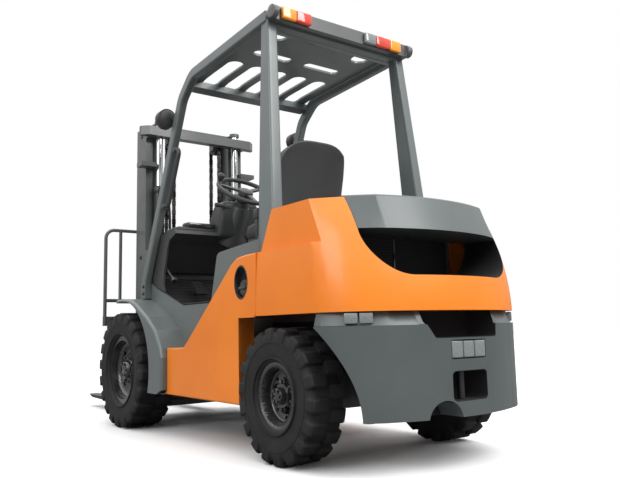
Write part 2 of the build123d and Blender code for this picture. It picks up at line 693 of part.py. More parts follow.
with BuildPart() as counterweight_band:
    weight_body(((band_base, 0), (ledge_height, 45), (cap_height - 8, 118)))
    block((frame_tail - seat_gap, front), (-475, 475), (band_base - 5, 1200), mode=Mode.SUBTRACT)
    with BuildSketch(Plane.YZ.offset(tail - 20)) as outlet:
        with BuildLine():
            Line((-outlet_half, 1200), (-outlet_half, 966))
            ThreePointArc((-outlet_half, 966), (-372, 838), (-236, 788))
            Line((-236, 788), (236, 788))
            ThreePointArc((236, 788), (372, 838), (outlet_half, 966))
            Line((outlet_half, 966), (outlet_half, 1200))
            Line((outlet_half, 1200), (-outlet_half, 1200))
        make_face()
    extrude(to_extrude=outlet.sketch, amount=rear - 200 - tail + 20, mode=Mode.SUBTRACT)
    for side in (-1, 1):
        low, high = sorted((side * 533, side * 700))
        flat_plate([(rear - 430, side * 700), (rear - 395, side * 533), (front, side * 533), (front, side * 700)],
                   (ledge_height, 1200), mode=Mode.SUBTRACT)
    side_plate([(panel_rear - 2, ledge_height), (panel_rear - 86, 1105), (panel_rear - 140, 1200), (front, 1200),
                (front, ledge_height)], (-700, 700), mode=Mode.SUBTRACT)
    block((rear - 60, front), (-526, 526), (ledge_height - 1, 1200), mode=Mode.SUBTRACT)
save(counterweight_band, "counterweight_band")

with BuildPart() as counterweight_cap:
    weight_body(((cap_base, 62), (cap_height, 122)))
    block((tail - 20, rear - 260), (-outlet_half + seat_gap, outlet_half - seat_gap), (cap_base - 1, cap_height + 1),
          mode=Mode.INTERSECT)
    fillet(counterweight_cap.edges().group_by(Axis.Z)[-1].sort_by(Axis.X)[:3], 14)
save(counterweight_cap, "counterweight_cap")

# Radiator and the cover over it, between the hood and the cap
with BuildPart() as radiator:
    block((rear - 230, rear - 120), (-312, 312), (frame_high + seat_gap, 1050))
save(radiator, "radiator")
with BuildPart() as radiator_cover:
    block((frame_tail, rear - 60), (-465, 465), (1060, 1128))
    fillet(radiator_cover.edges().filter_by(Axis.X).group_by(Axis.Z)[-1], 14)
    block((rear - 110, rear - 60), (-465, 465), (frame_high + seat_gap, 1060))
    for side in (-1, 1):
        rod((hood_hinge[0], side * 286, hood_hinge[1]), (hood_hinge[0], side * 354, hood_hinge[1]), 8)
        for ear in ((354, 366), (274, 286)):
            block((rear - 70, hood_hinge[0] + 8), sorted((side * ear[0], side * ear[1])), (990, 1010))
save(radiator_cover, "radiator_cover")

# Outer mast: two channels, cross bars, axle clamps and the tilt lugs
with BuildPart() as outer_mast:
    for side in (-1, 1):
        with BuildSketch(Plane.XY.offset(mast_foot)) as channel:
            with Locations((rail_back + rail_depth / 2, side * (rail_outer + rail_inner) / 2)):
                Rectangle(rail_depth, rail_outer - rail_inner)
            with Locations((rail_back + rail_depth / 2, side * (rail_inner + (rail_outer - rail_inner - rail_web) / 2))):
                Rectangle(rail_depth - 2 * rail_flange, rail_outer - rail_inner - rail_web, mode=Mode.SUBTRACT)
        extrude(to_extrude=channel.sketch, amount=mast_top - mast_foot)
        arms = ((front + 90, (mast_foot, 215)), (crossbar_x[0], (560, 690)), (crossbar_x[0], (1060, 1140)),
                (crossbar_x[0], (1930, 1992)))
        for x, z in arms:
            block((x, rail_back + 1), sorted((side * (lift_y + barrel_radius + 6), side * rail_outer)), z)
        low, high = sorted((side * 200, side * 255))
        rod((front, low, front_tyre_radius), (front, high, front_tyre_radius), 108)
        block((front, crossbar_x[1]), (low, high), (255, 600))
        for turn in (-1, 1):
            low, high = sorted((side * (tilt_y + 34 * turn - 8), side * (tilt_y + 34 * turn + 8)))
            side_plate([
                (crossbar_x[0] + 2, 690), (tilt_eye[0] - 25, tilt_eye[1] + 22), (tilt_eye[0] - 25, tilt_eye[1] - 22),
                (crossbar_x[0] + 2, 562),
            ], (low, high))
    block((crossbar_x[0] + 25, rail_back), (-rail_outer, rail_outer), (mast_foot, 130))
    for z in ((560, 690), (1060, 1140)):
        block(crossbar_x, (-rail_outer, rail_outer), z)
    flat_plate([
        (crossbar_x[0], -400), (crossbar_x[0] + 40, -445), (crossbar_x[1], -445), (crossbar_x[1], 445),
        (crossbar_x[0] + 40, 445), (crossbar_x[0], 400),
    ], (1930, 1992))
    for side in (-1, 1):
        block((crossbar_x[0] + 20, rail_back + 5), sorted((side * rail_inner, side * 445)), (1712, 1742))
        rod((lift_x, side * lift_y, 1900), (lift_x, side * lift_y, 2050), rod_radius + 6, mode=Mode.SUBTRACT)
        rod((lift_x, side * lift_y, 131), (lift_x, side * lift_y, 1800), barrel_radius + seat_gap, mode=Mode.SUBTRACT)
        for edge in (-1, 1):
            block((crossbar_x[1] - 1, crossbar_x[1] + 20), sorted((side * (chain_y + edge * 26 - 6), side * (chain_y + edge * 26 + 6))),
                  (1070, 1130))
    rod((front, -260, front_tyre_radius), (front, 260, front_tyre_radius), axle_radius + bearing_gap, mode=Mode.SUBTRACT)
    with Locations((front, 0, front_tyre_radius)):
        Sphere(160, mode=Mode.SUBTRACT)
save(outer_mast, "outer_mast")

# Lift cylinders behind the channels
barrel_top = 1560
with BuildPart() as lift_barrels:
    for side in (-1, 1):
        rod((lift_x, side * lift_y, 130), (lift_x, side * lift_y, barrel_top), barrel_radius)
        rod((lift_x, side * lift_y, 390), (lift_x, side * lift_y, barrel_top + 1), rod_radius + rod_gap, mode=Mode.SUBTRACT)
save(lift_barrels, "lift_barrels")
with BuildPart() as lift_rods:
    for side in (-1, 1):
        rod((lift_x, side * lift_y, 420), (lift_x, side * lift_y, 2022), rod_radius)
save(lift_rods, "lift_rods")

# Inner mast: two I-beams that run between the channels, with the chain wheels' carrier
with BuildPart() as inner_mast:
    for side in (-1, 1):
        with BuildSketch(Plane.XY.offset(mast_foot + 5)) as beam:
            with Locations((rail_back + rail_depth / 2, side * (inner_outer + inner_inner) / 2)):
                Rectangle(rail_depth - 4, inner_outer - inner_inner)
            with Locations((rail_back + rail_depth / 2, side * (inner_inner + 14))):
                Rectangle(rail_depth - 40, 28, mode=Mode.SUBTRACT)
            with Locations((rail_back + rail_depth / 2, side * (inner_outer - 4))):
                Rectangle(rail_depth - 40, 8, mode=Mode.SUBTRACT)
        extrude(to_extrude=beam.sketch, amount=mast_top - mast_foot - 5)
        rod((rail_back + rail_depth / 2, side * 310, 170), (rail_back + rail_depth / 2, side * 320, 170), 25)
        rod((rail_back + rail_depth / 2, side * 319, 170), (rail_back + rail_depth / 2, side * (rail_outer - rail_web - 3), 170),
            roller_radius)
        rod((lift_x, side * lift_y, 2022), (lift_x, side * lift_y, 2046), 34)
        block((lift_x - 30, rail_back + rail_depth - 2), sorted((side * inner_inner, side * inner_outer)), (2022, 2040))
        block((rail_back + 2, rail_back + rail_depth - 2), sorted((side * inner_inner, side * inner_outer)),
              (mast_top - 2, 2022))
        for turn in (-1, 1):
            block((chain_wheel_x - 24, chain_wheel_x + 24),
                  sorted((side * (chain_y + turn * 24 - 5), side * (chain_y + turn * 24 + 5))), (chain_wheel_z - 25, 2024))
        rod((chain_wheel_x, side * (chain_y - 28), chain_wheel_z), (chain_wheel_x, side * (chain_y + 28), chain_wheel_z), 15)
    block((chain_wheel_x - 30, chain_wheel_x + 50), (-inner_inner - 5, inner_inner + 5), (2022, 2040))
    block((rail_back + 2, rail_back + 24), (-inner_inner - 2, inner_inner + 2), (115, 200))
    block((rail_back + 2, rail_back + 24), (-inner_inner - 2, inner_inner + 2), (1180, 1250))
save(inner_mast, "inner_mast")

# Chain wheels on their pins, and the leaf chains over them
with BuildPart() as chain_wheels:
    for side in (-1, 1):
        rod((chain_wheel_x, side * (chain_y - 17), chain_wheel_z), (chain_wheel_x, side * (chain_y + 17), chain_wheel_z),
            chain_wheel_radius)
        rod((chain_wheel_x, side * (chain_y - 20), chain_wheel_z), (chain_wheel_x, side * (chain_y + 20), chain_wheel_z),
            15.3, mode=Mode.SUBTRACT)
save(chain_wheels, "chain_wheels")

chain_offset = chain_wheel_radius + chain_thick / 2 + 0.5
chain_anchor_back = 1112
chain_anchor_front = 412
with BuildPart() as lift_chains:
    for side in (-1, 1):
        with BuildSketch(Plane.XZ.offset(-side * chain_y)) as loop:
            with Locations((chain_wheel_x, chain_wheel_z)):
                Circle(chain_offset + chain_thick / 2)
                Circle(chain_offset - chain_thick / 2, mode=Mode.SUBTRACT)
            with Locations((chain_wheel_x, chain_wheel_z - 100)):
                Rectangle(300, 200, mode=Mode.SUBTRACT)
            with Locations((chain_wheel_x - chain_offset, (chain_wheel_z + chain_anchor_back) / 2)):
                Rectangle(chain_thick, chain_wheel_z - chain_anchor_back)
            with Locations((chain_wheel_x + chain_offset, (chain_wheel_z + chain_anchor_front) / 2)):
                Rectangle(chain_thick, chain_wheel_z - chain_anchor_front)
        extrude(to_extrude=loop.sketch, amount=chain_width / 2, both=True)
save(lift_chains, "lift_chains")

# Carriage: side plates with rollers, two fork bars and the chain anchor
carriage_back = fork_face - 45
plate_y = (215, 240)
bar_half = 520
with BuildPart() as carriage:
    for side in (-1, 1):
        low, high = sorted((side * plate_y[0], side * plate_y[1]))
        side_plate([
            (front + 200, 120), (front + 200, 535), (front + 330, 535), (carriage_back + 1, 620), (carriage_back + 1, 110),
        ], (low, high))
        for z in (190, 330, 470):
            rod((rail_back + rail_depth / 2, side * 235, z), (rail_back + rail_depth / 2, side * 276, z), 22)
            rod((rail_back + rail_depth / 2, side * 275, z), (rail_back + rail_depth / 2, side * 297, z), roller_radius)
    block((carriage_back, fork_face - seat_gap), (-bar_half, bar_half), (105, 180))
    block((carriage_back, fork_face - seat_gap), (-bar_half, bar_half), (545, 635))
    block((carriage_back, carriage_back + 20), (-240, 240), (178, 547))
    block((front + 225, carriage_back + 1), (-plate_y[0] - 1, plate_y[0] + 1), (370, 410))
    for side in (-1, 1):
        block((chain_wheel_x + 48, chain_wheel_x + 76), sorted((side * (chain_y - 22), side * (chain_y + 22))), (360, 420),
              mode=Mode.SUBTRACT)
save(carriage, "carriage")

# Load backrest: a tube frame with upright bars
backrest_x = carriage_back + 14
with BuildPart() as backrest:
    tube([(backrest_x, -548, 640), (backrest_x, -548, 1310), (backrest_x, 548, 1310), (backrest_x, 548, 640)], 60, 12)
    rod((backrest_x, -548, 811), (backrest_x, 548, 811), 12)
    for bar in range(-3, 4):
        rod((backrest_x, bar * 147, 811), (backrest_x, bar * 147, 1310), 11)
    for side in (-1, 1):
        block((backrest_x - 8, backrest_x + 8), sorted((side * 440, side * 560)), (635 + seat_gap, 700))
save(backrest, "backrest")

# Forks: an upright shank with two hooks and a tapering blade
for side, name in ((1, "left"), (-1, "right")):
    with BuildPart() as fork:
        middle = side * fork_spread
        heel = fork_face
        tip = fork_face + fork_length
        side_plate([
            (heel, fork_height + 40), (heel + 30, fork_height), (tip, fork_height + 27),
            (tip, fork_height + fork_thickness - 5), (tip - 500, fork_height + fork_thickness),
            (heel + fork_thickness + 30, fork_height + fork_thickness), (heel + fork_thickness, fork_height + 78),
            (heel + fork_thickness - 4, 670), (heel - 20, 670), (heel - 20, 637), (heel, 637),
        ], (middle - fork_width / 2, middle + fork_width / 2))
        with BuildSketch(Plane.XY.offset(fork_height - 5)) as tip_shape:
            for edge in (-1, 1):
                with BuildLine():
                    Polyline((tip + 5, middle + edge * 25), (tip + 5, middle + edge * 80), (tip - 160, middle + edge * 80),
                             (tip - 160, middle + edge * 63), close=True)
                make_face()
        extrude(to_extrude=tip_shape.sketch, amount=70, mode=Mode.SUBTRACT)
    save(fork, f"fork_{name}")

# Tilt cylinders: barrels on the frame, rods to the mast
tilt_run = (tilt_eye[0] - tilt_base[0], tilt_eye[1] - tilt_base[1])
tilt_length = hypot(*tilt_run)
tilt_x, tilt_z = tilt_run[0] / tilt_length, tilt_run[1] / tilt_length


def on_tilt(reach, side):
    """A point on a tilt cylinder's centre line, measured from its rear pin."""
    return (tilt_base[0] + tilt_x * reach, side * tilt_y, tilt_base[1] + tilt_z * reach)


with BuildPart() as tilt_barrels:
    for side in (-1, 1):
        rod((tilt_base[0], side * (tilt_y - 22), tilt_base[1]), (tilt_base[0], side * (tilt_y + 22), tilt_base[1]), 32)
        rod(on_tilt(20, side), on_tilt(66, side), 22)
        rod(on_tilt(65, side), on_tilt(330, side), 34)
        rod((tilt_base[0], side * (tilt_y - 30), tilt_base[1]), (tilt_base[0], side * (tilt_y + 30), tilt_base[1]),
            18 + bearing_gap, mode=Mode.SUBTRACT)
        rod(on_tilt(120, side), on_tilt(340, side), 16 + rod_gap, mode=Mode.SUBTRACT)
save(tilt_barrels, "tilt_barrels")
with BuildPart() as tilt_rods:
    for side in (-1, 1):
        rod(on_tilt(190, side), on_tilt(tilt_length, side), 16)
        rod((tilt_eye[0], side * (tilt_y - 20), tilt_eye[1]), (tilt_eye[0], side * (tilt_y + 20), tilt_eye[1]), 20)
        rod((tilt_eye[0], side * (tilt_y - 26), tilt_eye[1]), (tilt_eye[0], side * (tilt_y + 26), tilt_eye[1]), 12,
            mode=Mode.SUBTRACT)
save(tilt_rods, "tilt_rods")
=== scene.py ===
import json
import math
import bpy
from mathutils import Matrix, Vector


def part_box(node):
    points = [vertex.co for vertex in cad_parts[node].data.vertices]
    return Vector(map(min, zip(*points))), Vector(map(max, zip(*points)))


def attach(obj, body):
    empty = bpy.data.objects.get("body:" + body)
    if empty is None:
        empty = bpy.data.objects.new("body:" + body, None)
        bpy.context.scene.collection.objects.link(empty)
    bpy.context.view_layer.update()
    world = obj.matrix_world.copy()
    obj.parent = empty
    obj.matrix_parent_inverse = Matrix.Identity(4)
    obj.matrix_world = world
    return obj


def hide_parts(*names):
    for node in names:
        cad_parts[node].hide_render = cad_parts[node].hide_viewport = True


bl_info = {
    "name": "Counterbalance forklift",
    "version": (1, 0, 0),
    "blender": (4, 5, 0),
    "location": "View3D > Sidebar > Forklift",
    "description": "Dresses the packed forklift with finishes and the pieces that only the eye needs",
    "category": "Object",
}

import bmesh
import bpy
from mathutils import Matrix, Vector

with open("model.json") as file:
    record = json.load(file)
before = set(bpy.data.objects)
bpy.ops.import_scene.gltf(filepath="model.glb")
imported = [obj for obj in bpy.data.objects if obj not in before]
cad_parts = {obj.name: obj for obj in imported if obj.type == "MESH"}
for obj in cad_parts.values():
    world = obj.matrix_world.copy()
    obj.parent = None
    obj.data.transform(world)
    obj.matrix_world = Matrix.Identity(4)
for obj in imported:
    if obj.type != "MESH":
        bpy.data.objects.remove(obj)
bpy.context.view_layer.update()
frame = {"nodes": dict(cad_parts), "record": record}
nodes = frame["nodes"]
body_of_node = {n: body for body, names in frame["record"]["behaviour"]["bodies"].items() for n in names}
slot_of_node = {part["node"]: part["material_slot"] for part in frame["record"]["subparts"]}

# Sizes that the solids and the dressing share, in metres
FRONT = 0.380
REAR = -1.320
TAIL = -1.940
FRONT_HUB = (FRONT, 0.505, 0.355)
REAR_HUB = (REAR, 0.4825, 0.295)

# How close two vertices are merged, how thick a skin of painted shade is, and the angles past which an edge
# stays sharp
MERGE = 0.00002
SHADE_SKIN = 0.0015
PRESSED_EDGE = 12.0
ROUND_EDGE = 30.0


def hex_of(colour):
    """A bright sRGB hex value as a linear colour."""
    parts = [int(colour[i:i + 2], 16) / 255 for i in (1, 3, 5)]
    return [p / 12.92 if p <= 0.04045 else ((p + 0.055) / 1.055) ** 2.4 for p in parts] + [1.0]


def add_node(tree, kind, feeds=None, **settings):
    """Add a shader node, set its properties, and set or link its inputs."""
    made = tree.nodes.new("ShaderNode" + kind)
    for key, value in settings.items():
        setattr(made, key, value)
    for key, value in (feeds or {}).items():
        if isinstance(value, bpy.types.NodeSocket):
            tree.links.new(value, made.inputs[key])
        else:
            made.inputs[key].default_value = value
    return made


def new_material(name):
    """An empty node material, its tree, its shader and its Object coordinates."""
    made = bpy.data.materials.new(name)
    made.use_nodes = True
    tree = made.node_tree
    shader = tree.nodes["Principled BSDF"]
    place = add_node(tree, "TexCoord")
    return made, tree, shader, place.outputs["Object"]


def noise_of(tree, place, millimetres, detail=2.0):
    """Noise whose grain is about the given size."""
    return add_node(tree, "TexNoise", {"Vector": place, "Scale": 1000 / millimetres,
                                       "Detail": detail}).outputs["Fac"]


def mix_of(tree, factor, first, second):
    """A colour that runs from the first to the second with a factor."""
    made = add_node(tree, "Mix", data_type="RGBA")
    tree.links.new(factor, made.inputs["Factor"])
    made.inputs["A"].default_value = first
    made.inputs["B"].default_value = second
    return made.outputs["Result"]


def range_of(tree, value, low, high, to_low, to_high):
    """A value moved from one range to another."""
    return add_node(tree, "MapRange", {
        "Value": value, "From Min": low, "From Max": high, "To Min": to_low, "To Max": to_high,
    }).outputs["Result"]


def roughen(tree, shader, height, strength, millimetres):
    """Feed a height to the shader's normal as a bump of a real depth."""
    bump = add_node(tree, "Bump", {"Height": height, "Strength": strength,
                                   "Distance": millimetres / 1000})
    tree.links.new(bump.outputs["Normal"], shader.inputs["Normal"])


def enamel(name, colour, darker, roughness, coat):
    """Sprayed and baked enamel on steel plate or cast iron.

    A smooth paint film with a faint orange peel of about 6 mm, a little dust and fading over half a metre,
    and a clear gloss on top, which gives the soft wide highlights of a new machine.
    """
    made, tree, shader, place = new_material(name)
    fade = noise_of(tree, place, 480, 3.0)
    tree.links.new(mix_of(tree, range_of(tree, fade, 0.35, 0.7, 0.0, 1.0), hex_of(colour),
                          hex_of(darker)),
                   shader.inputs["Base Color"])
    smears = noise_of(tree, place, 90, 4.0)
    tree.links.new(range_of(tree, smears, 0.3, 0.75, roughness - 0.05, roughness + 0.07),
                   shader.inputs["Roughness"])
    shader.inputs["Coat Weight"].default_value = coat
    shader.inputs["Coat Roughness"].default_value = 0.12
    shader.inputs["IOR"].default_value = 1.5
    roughen(tree, shader, noise_of(tree, place, 6, 1.0), 0.10, 0.25)
    return made


def cast_enamel(name, colour, darker, roughness):
    """Satin enamel brushed over a sand casting.

    The casting's skin shows through the paint as a fine pebble of 5 mm, which breaks up the highlights.
    """
    made, tree, shader, place = new_material(name)
    fade = noise_of(tree, place, 350, 4.0)
    tree.links.new(mix_of(tree, range_of(tree, fade, 0.35, 0.7, 0.0, 1.0), hex_of(colour),
                          hex_of(darker)),
                   shader.inputs["Base Color"])
    shader.inputs["Roughness"].default_value = roughness
    shader.inputs["Coat Weight"].default_value = 0.15
    shader.inputs["Coat Roughness"].default_value = 0.3
    roughen(tree, shader, noise_of(tree, place, 5, 3.0), 0.22, 0.5)
    return made


def rolled_steel(name, colour, roughness, metallic):
    """Rolled or drawn steel with an oil film.

    Grease darkens it in patches, and fine streaks of about 3 mm run along it.
    """
    made, tree, shader, place = new_material(name)
    grease = noise_of(tree, place, 70, 5.0)
    tree.links.new(mix_of(tree, range_of(tree, grease, 0.4, 0.65, 0.0, 1.0), hex_of(colour),
                          hex_of("#171615")),
                   shader.inputs["Base Color"])
    tree.links.new(range_of(tree, grease, 0.35, 0.7, roughness, roughness + 0.15),
                   shader.inputs["Roughness"])
    shader.inputs["Metallic"].default_value = metallic
    roughen(tree, shader, noise_of(tree, place, 3, 2.0), 0.08, 0.2)
    return made


def hard_chrome(name):
    """Ground and hard chromed rod: a mirror with very faint grinding marks."""
    made, tree, shader, place = new_material(name)
    shader.inputs["Base Color"].default_value = hex_of("#d5d6d8")
    shader.inputs["Metallic"].default_value = 1.0
    marks = noise_of(tree, place, 4, 2.0)
    tree.links.new(range_of(tree, marks, 0.3, 0.7, 0.08, 0.16), shader.inputs["Roughness"])
    return made


def tyre_rubber(name):
    """Vulcanised rubber from a steel mould.

    Carbon black with a dry bloom that greys it in patches, and a fine pebbled skin of 4 mm.
    """
    made, tree, shader, place = new_material(name)
    bloom = noise_of(tree, place, 60, 5.0)
    tree.links.new(mix_of(tree, range_of(tree, bloom, 0.35, 0.7, 0.0, 1.0), hex_of("#161617"),
                          hex_of("#262627")),
                   shader.inputs["Base Color"])
    tree.links.new(range_of(tree, bloom, 0.3, 0.7, 0.62, 0.8), shader.inputs["Roughness"])
    shader.inputs["Specular IOR Level"].default_value = 0.35
    roughen(tree, shader, noise_of(tree, place, 4, 3.0), 0.35, 0.5)
    return made


def grained_plastic(name, colour, roughness):
    """Injection moulded polypropylene with a leather grain of 5 mm cells from the mould's etched face."""
    made, tree, shader, place = new_material(name)
    cells = add_node(tree, "TexVoronoi", {"Vector": place, "Scale": 200.0},
                     feature="SMOOTH_F1").outputs["Distance"]
    haze = noise_of(tree, place, 120, 3.0)
    lighter = [min(1.0, c * 1.35) for c in hex_of(colour)[:3]] + [1.0]
    tree.links.new(mix_of(tree, haze, hex_of(colour), lighter), shader.inputs["Base Color"])
    shader.inputs["Roughness"].default_value = roughness
    roughen(tree, shader, cells, 0.3, 0.4)
    return made


def grained_vinyl(name):
    """Coated fabric for an outdoor seat: soft sheen, 6 mm creases of false leather grain."""
    made, tree, shader, place = new_material(name)
    cells = add_node(tree, "TexVoronoi", {"Vector": place, "Scale": 170.0}, feature="DISTANCE_TO_EDGE")
    creases = range_of(tree, cells.outputs["Distance"], 0.0, 0.12, 0.0, 1.0)
    # The creases are painted darker than the cells: painted shade in the grain, on top of the bump
    tree.links.new(mix_of(tree, creases, hex_of("#161515"), hex_of("#292727")),
                   shader.inputs["Base Color"])
    shader.inputs["Roughness"].default_value = 0.5
    shader.inputs["Sheen Weight"].default_value = 0.12
    roughen(tree, shader, creases, 0.35, 0.5)
    return made


def ribbed_rubber(name):
    """Floor mat: moulded rubber with 12 mm ribs across the truck."""
    made, tree, shader, place = new_material(name)
    ribs = add_node(tree, "TexWave", {"Vector": place, "Scale": 13.0}, bands_direction="X",
                    wave_profile="SIN")
    # The grooves between the ribs are painted darker: painted shade, in step with the bump
    tree.links.new(mix_of(tree, ribs.outputs["Fac"], hex_of("#141414"), hex_of("#262626")),
                   shader.inputs["Base Color"])
    shader.inputs["Roughness"].default_value = 0.7
    roughen(tree, shader, ribs.outputs["Fac"], 0.6, 2.0)
    return made


def lens(name, colour):
    """Moulded acrylic lens: clear colour with 8 mm prisms inside, each painted paler toward its edges as a
    painted glint, and bumped so that they glitter.
    """
    made, tree, shader, place = new_material(name)
    prisms = add_node(tree, "TexVoronoi", {"Vector": place, "Scale": 125.0}, feature="F1",
                      distance="CHEBYCHEV")
    # Each prism is painted paler toward its edges: a painted glint
    paler = [min(1.0, c * 1.3 + 0.01) for c in hex_of(colour)[:3]] + [1.0]
    tree.links.new(mix_of(tree, prisms.outputs["Distance"], hex_of(colour), paler),
                   shader.inputs["Base Color"])
    shader.inputs["Roughness"].default_value = 0.12
    shader.inputs["IOR"].default_value = 1.49
    shader.inputs["Coat Weight"].default_value = 0.8
    roughen(tree, shader, prisms.outputs["Distance"], 0.25, 0.6)
    return made


def finned_metal(name):
    """Radiator core: black painted fins every 6 mm between flat tubes."""
    made, tree, shader, place = new_material(name)
    fins = add_node(tree, "TexWave", {"Vector": place, "Scale": 26.0}, bands_direction="Z",
                    wave_profile="SAW")
    # The gaps between the fins are painted darker: painted shade, in step with the bump
    tree.links.new(mix_of(tree, fins.outputs["Fac"], hex_of("#0c0c0c"), hex_of("#2a2a2a")),
                   shader.inputs["Base Color"])
    shader.inputs["Roughness"].default_value = 0.55
    shader.inputs["Metallic"].default_value = 0.6
    roughen(tree, shader, fins.outputs["Fac"], 0.5, 2.0)
    return made


finishes = {}


def make_finishes(paint):
    """Make every finish and keep it under the name of its slot or use."""
    finishes.update({
        "body_orange": enamel("Orange gloss enamel", paint.orange, "#e2760a", 0.36, 0.22),
        "body_grey": enamel("Grey satin enamel", paint.grey, "#596060", 0.38, 0.3),
        "frame_black": enamel("Black chassis enamel", "#1d1e1e", "#151616", 0.45, 0.2),
        "mast_grey": enamel("Mast satin enamel", "#555757", "#454747", 0.4, 0.3),
        "fork_black": cast_enamel("Forged fork enamel", "#232323", "#1a1a1a", 0.5),
        "cylinder_black": enamel("Cylinder enamel", "#202121", "#181919", 0.4, 0.25),
        "chrome_rod": hard_chrome("Hard chromed rod"),
        "chain_steel": rolled_steel("Oiled chain steel", "#4b4a48", 0.4, 0.85),
        "tyre_rubber": tyre_rubber("Moulded tyre rubber"),
        "rim_black": enamel("Black rim enamel", "#2c2c2c", "#202020", 0.2, 0.9),
        "cab_plastic": grained_plastic("Grained cab plastic", "#343535", 0.42),
        "floor_rubber": ribbed_rubber("Ribbed floor rubber"),
        "seat_vinyl": grained_vinyl("Grained seat vinyl"),
        "engine_iron": cast_enamel("Cast iron engine", "#2c2d2d", "#1c1c1c", 0.6),
        "radiator_metal": finned_metal("Radiator core"),
        "lamp_amber": lens("Amber lens", "#f28c00"),
        "lamp_red": lens("Red lens", "#c62a04"),
        "lamp_clear": lens("Clear lens", "#6f7474"),
        "casting_grey": cast_enamel("Grey casting enamel", "#4f5656", "#474e4e", 0.42),
        # Near-black painted shade, laid as a thin skin inside the outlet, the scoop, the tow pocket and the
        # wheel arches
        "painted_shade_black": grained_plastic("Painted shade black", "#0d0d0d", 0.85),
        "bolt_steel": rolled_steel("Zinc plated bolt", "#7c7d7c", 0.38, 0.9),
    })
    finishes["lamp_lens"] = finishes["lamp_amber"]


# Mesh helpers
def put(name, bm, body, finish, angle=35.0):
    """Turn a bmesh into a smooth shaded object that rides on a body."""
    bmesh.ops.recalc_face_normals(bm, faces=bm.faces)
    data = bpy.data.meshes.new(name)
    bm.to_mesh(data)
    bm.free()
    for face in data.polygons:
        face.use_smooth = True
    data.set_sharp_from_angle(angle=math.radians(angle))
    piece = bpy.data.objects.new(name, data)
    bpy.context.scene.collection.objects.link(piece)
    data.materials.append(finishes[finish])
    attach(piece, body)
    return piece


def box(bm, low, high, edge=0.0, segments=2):
    """Add a box between two corners, with rounded edges."""
    low, high = Vector(low), Vector(high)
    size = high - low
    place = Matrix.Translation((low + high) / 2) @ Matrix.Diagonal((*size, 1.0))
    made = bmesh.ops.create_cube(bm, size=1.0, matrix=place)["verts"]
    if edge:
        edges = list({e for v in made for e in v.link_edges})
        bmesh.ops.bevel(bm, geom=edges, offset=edge, offset_type="OFFSET", affect="EDGES",
                        segments=segments,
                        profile=0.5, material=-1)
    return made


def bar(bm, start, end, radius, far_radius=None, segments=24, edge=0.0):
    """Add a round bar or cone between two points."""
    start, end = Vector(start), Vector(end)
    run = end - start
    turn = run.to_track_quat("Z", "Y").to_matrix().to_4x4()
    place = Matrix.Translation((start + end) / 2) @ turn
    made = bmesh.ops.create_cone(bm, cap_ends=True, segments=segments, radius1=radius,
                                 radius2=radius if far_radius is None else far_radius, depth=run.length,
                                 matrix=place)["verts"]
    if edge:
        touched = {e for v in made for e in v.link_edges}
        rims = [e for e in touched if any(len(f.verts) > 4 for f in e.link_faces)]
        bmesh.ops.bevel(bm, geom=rims, offset=edge, offset_type="OFFSET", affect="EDGES", segments=2,
                        profile=0.5, material=-1)
    return made


def turned(bm, outline, centre, axis=(0, 1, 0), steps=48, closed=True):
    """Spin an outline of (along the axis, radius) points about an axis through a centre."""
    along = Vector(axis).normalized()
    out = along.orthogonal().normalized()
    centre = Vector(centre)
    points = [bm.verts.new(centre + along * reach + out * radius) for reach, radius in outline]
    edges = [bm.edges.new((points[i], points[i + 1])) for i in range(len(points) - 1)]
    if closed:
        edges.append(bm.edges.new((points[-1], points[0])))
    bmesh.ops.spin(bm, geom=points + edges, cent=centre, axis=along, angle=2 * math.pi, steps=steps,
                   use_merge=True)
    bmesh.ops.remove_doubles(bm, verts=bm.verts, dist=MERGE)


def plate(bm, outline, depth):
    """Add a flat plate from an outline of points, thickened by a vector."""
    face = bm.faces.new([bm.verts.new(Vector(p)) for p in outline])
    made = bmesh.ops.extrude_face_region(bm, geom=[face])["geom"]
    moved = [v for v in made if isinstance(v, bmesh.types.BMVert)]
    bmesh.ops.translate(bm, vec=Vector(depth), verts=moved)
    return moved


def hose(name, points, radius, body, finish="tyre_rubber"):
    """A bent pipe or hose along smooth points."""
    curve = bpy.data.curves.new(name, "CURVE")
    curve.dimensions = "3D"
    curve.bevel_depth = radius
    curve.bevel_resolution = 4
    curve.resolution_u = 8
    curve.use_fill_caps = True
    line = curve.splines.new("NURBS")
    line.points.add(len(points) - 1)
    for point, place in zip(line.points, points):
        point.co = (*place, 1.0)
    line.order_u = 3
    line.use_endpoint_u = True
    piece = bpy.data.objects.new(name, curve)
    bpy.context.scene.collection.objects.link(piece)
    curve.materials.append(finishes[finish])
    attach(piece, body)
    return piece


def merged(node):
    """A bmesh of a CAD node with its triangles joined."""
    bm = bmesh.new()
    bm.from_mesh(nodes[node].data)
    bmesh.ops.remove_doubles(bm, verts=bm.verts, dist=MERGE)
    return bm


def lining(node, name, finish, wanted):
    """A thin closed skin over the faces of a CAD node that pass a test on their middle and normal. It is used
    to lay dark painted shade in the recesses and wheel arches.
    """
    bm = merged(node)
    bm.normal_update()
    spare = [f for f in bm.faces if not wanted(f.calc_center_median(), f.normal)]
    bmesh.ops.delete(bm, geom=spare, context="FACES")
    bm.normal_update()
    away = {v: v.normal.copy() for v in bm.verts}
    skin = bmesh.ops.extrude_face_region(bm, geom=bm.faces[:])["geom"]
    for v in (v for v in skin if isinstance(v, bmesh.types.BMVert)):
        nearest = min(v.link_edges, key=lambda e: e.calc_length()).other_vert(v)
        v.co += away.get(nearest, v.normal) * SHADE_SKIN
    return put(name, bm, body_of_node[node], finish)


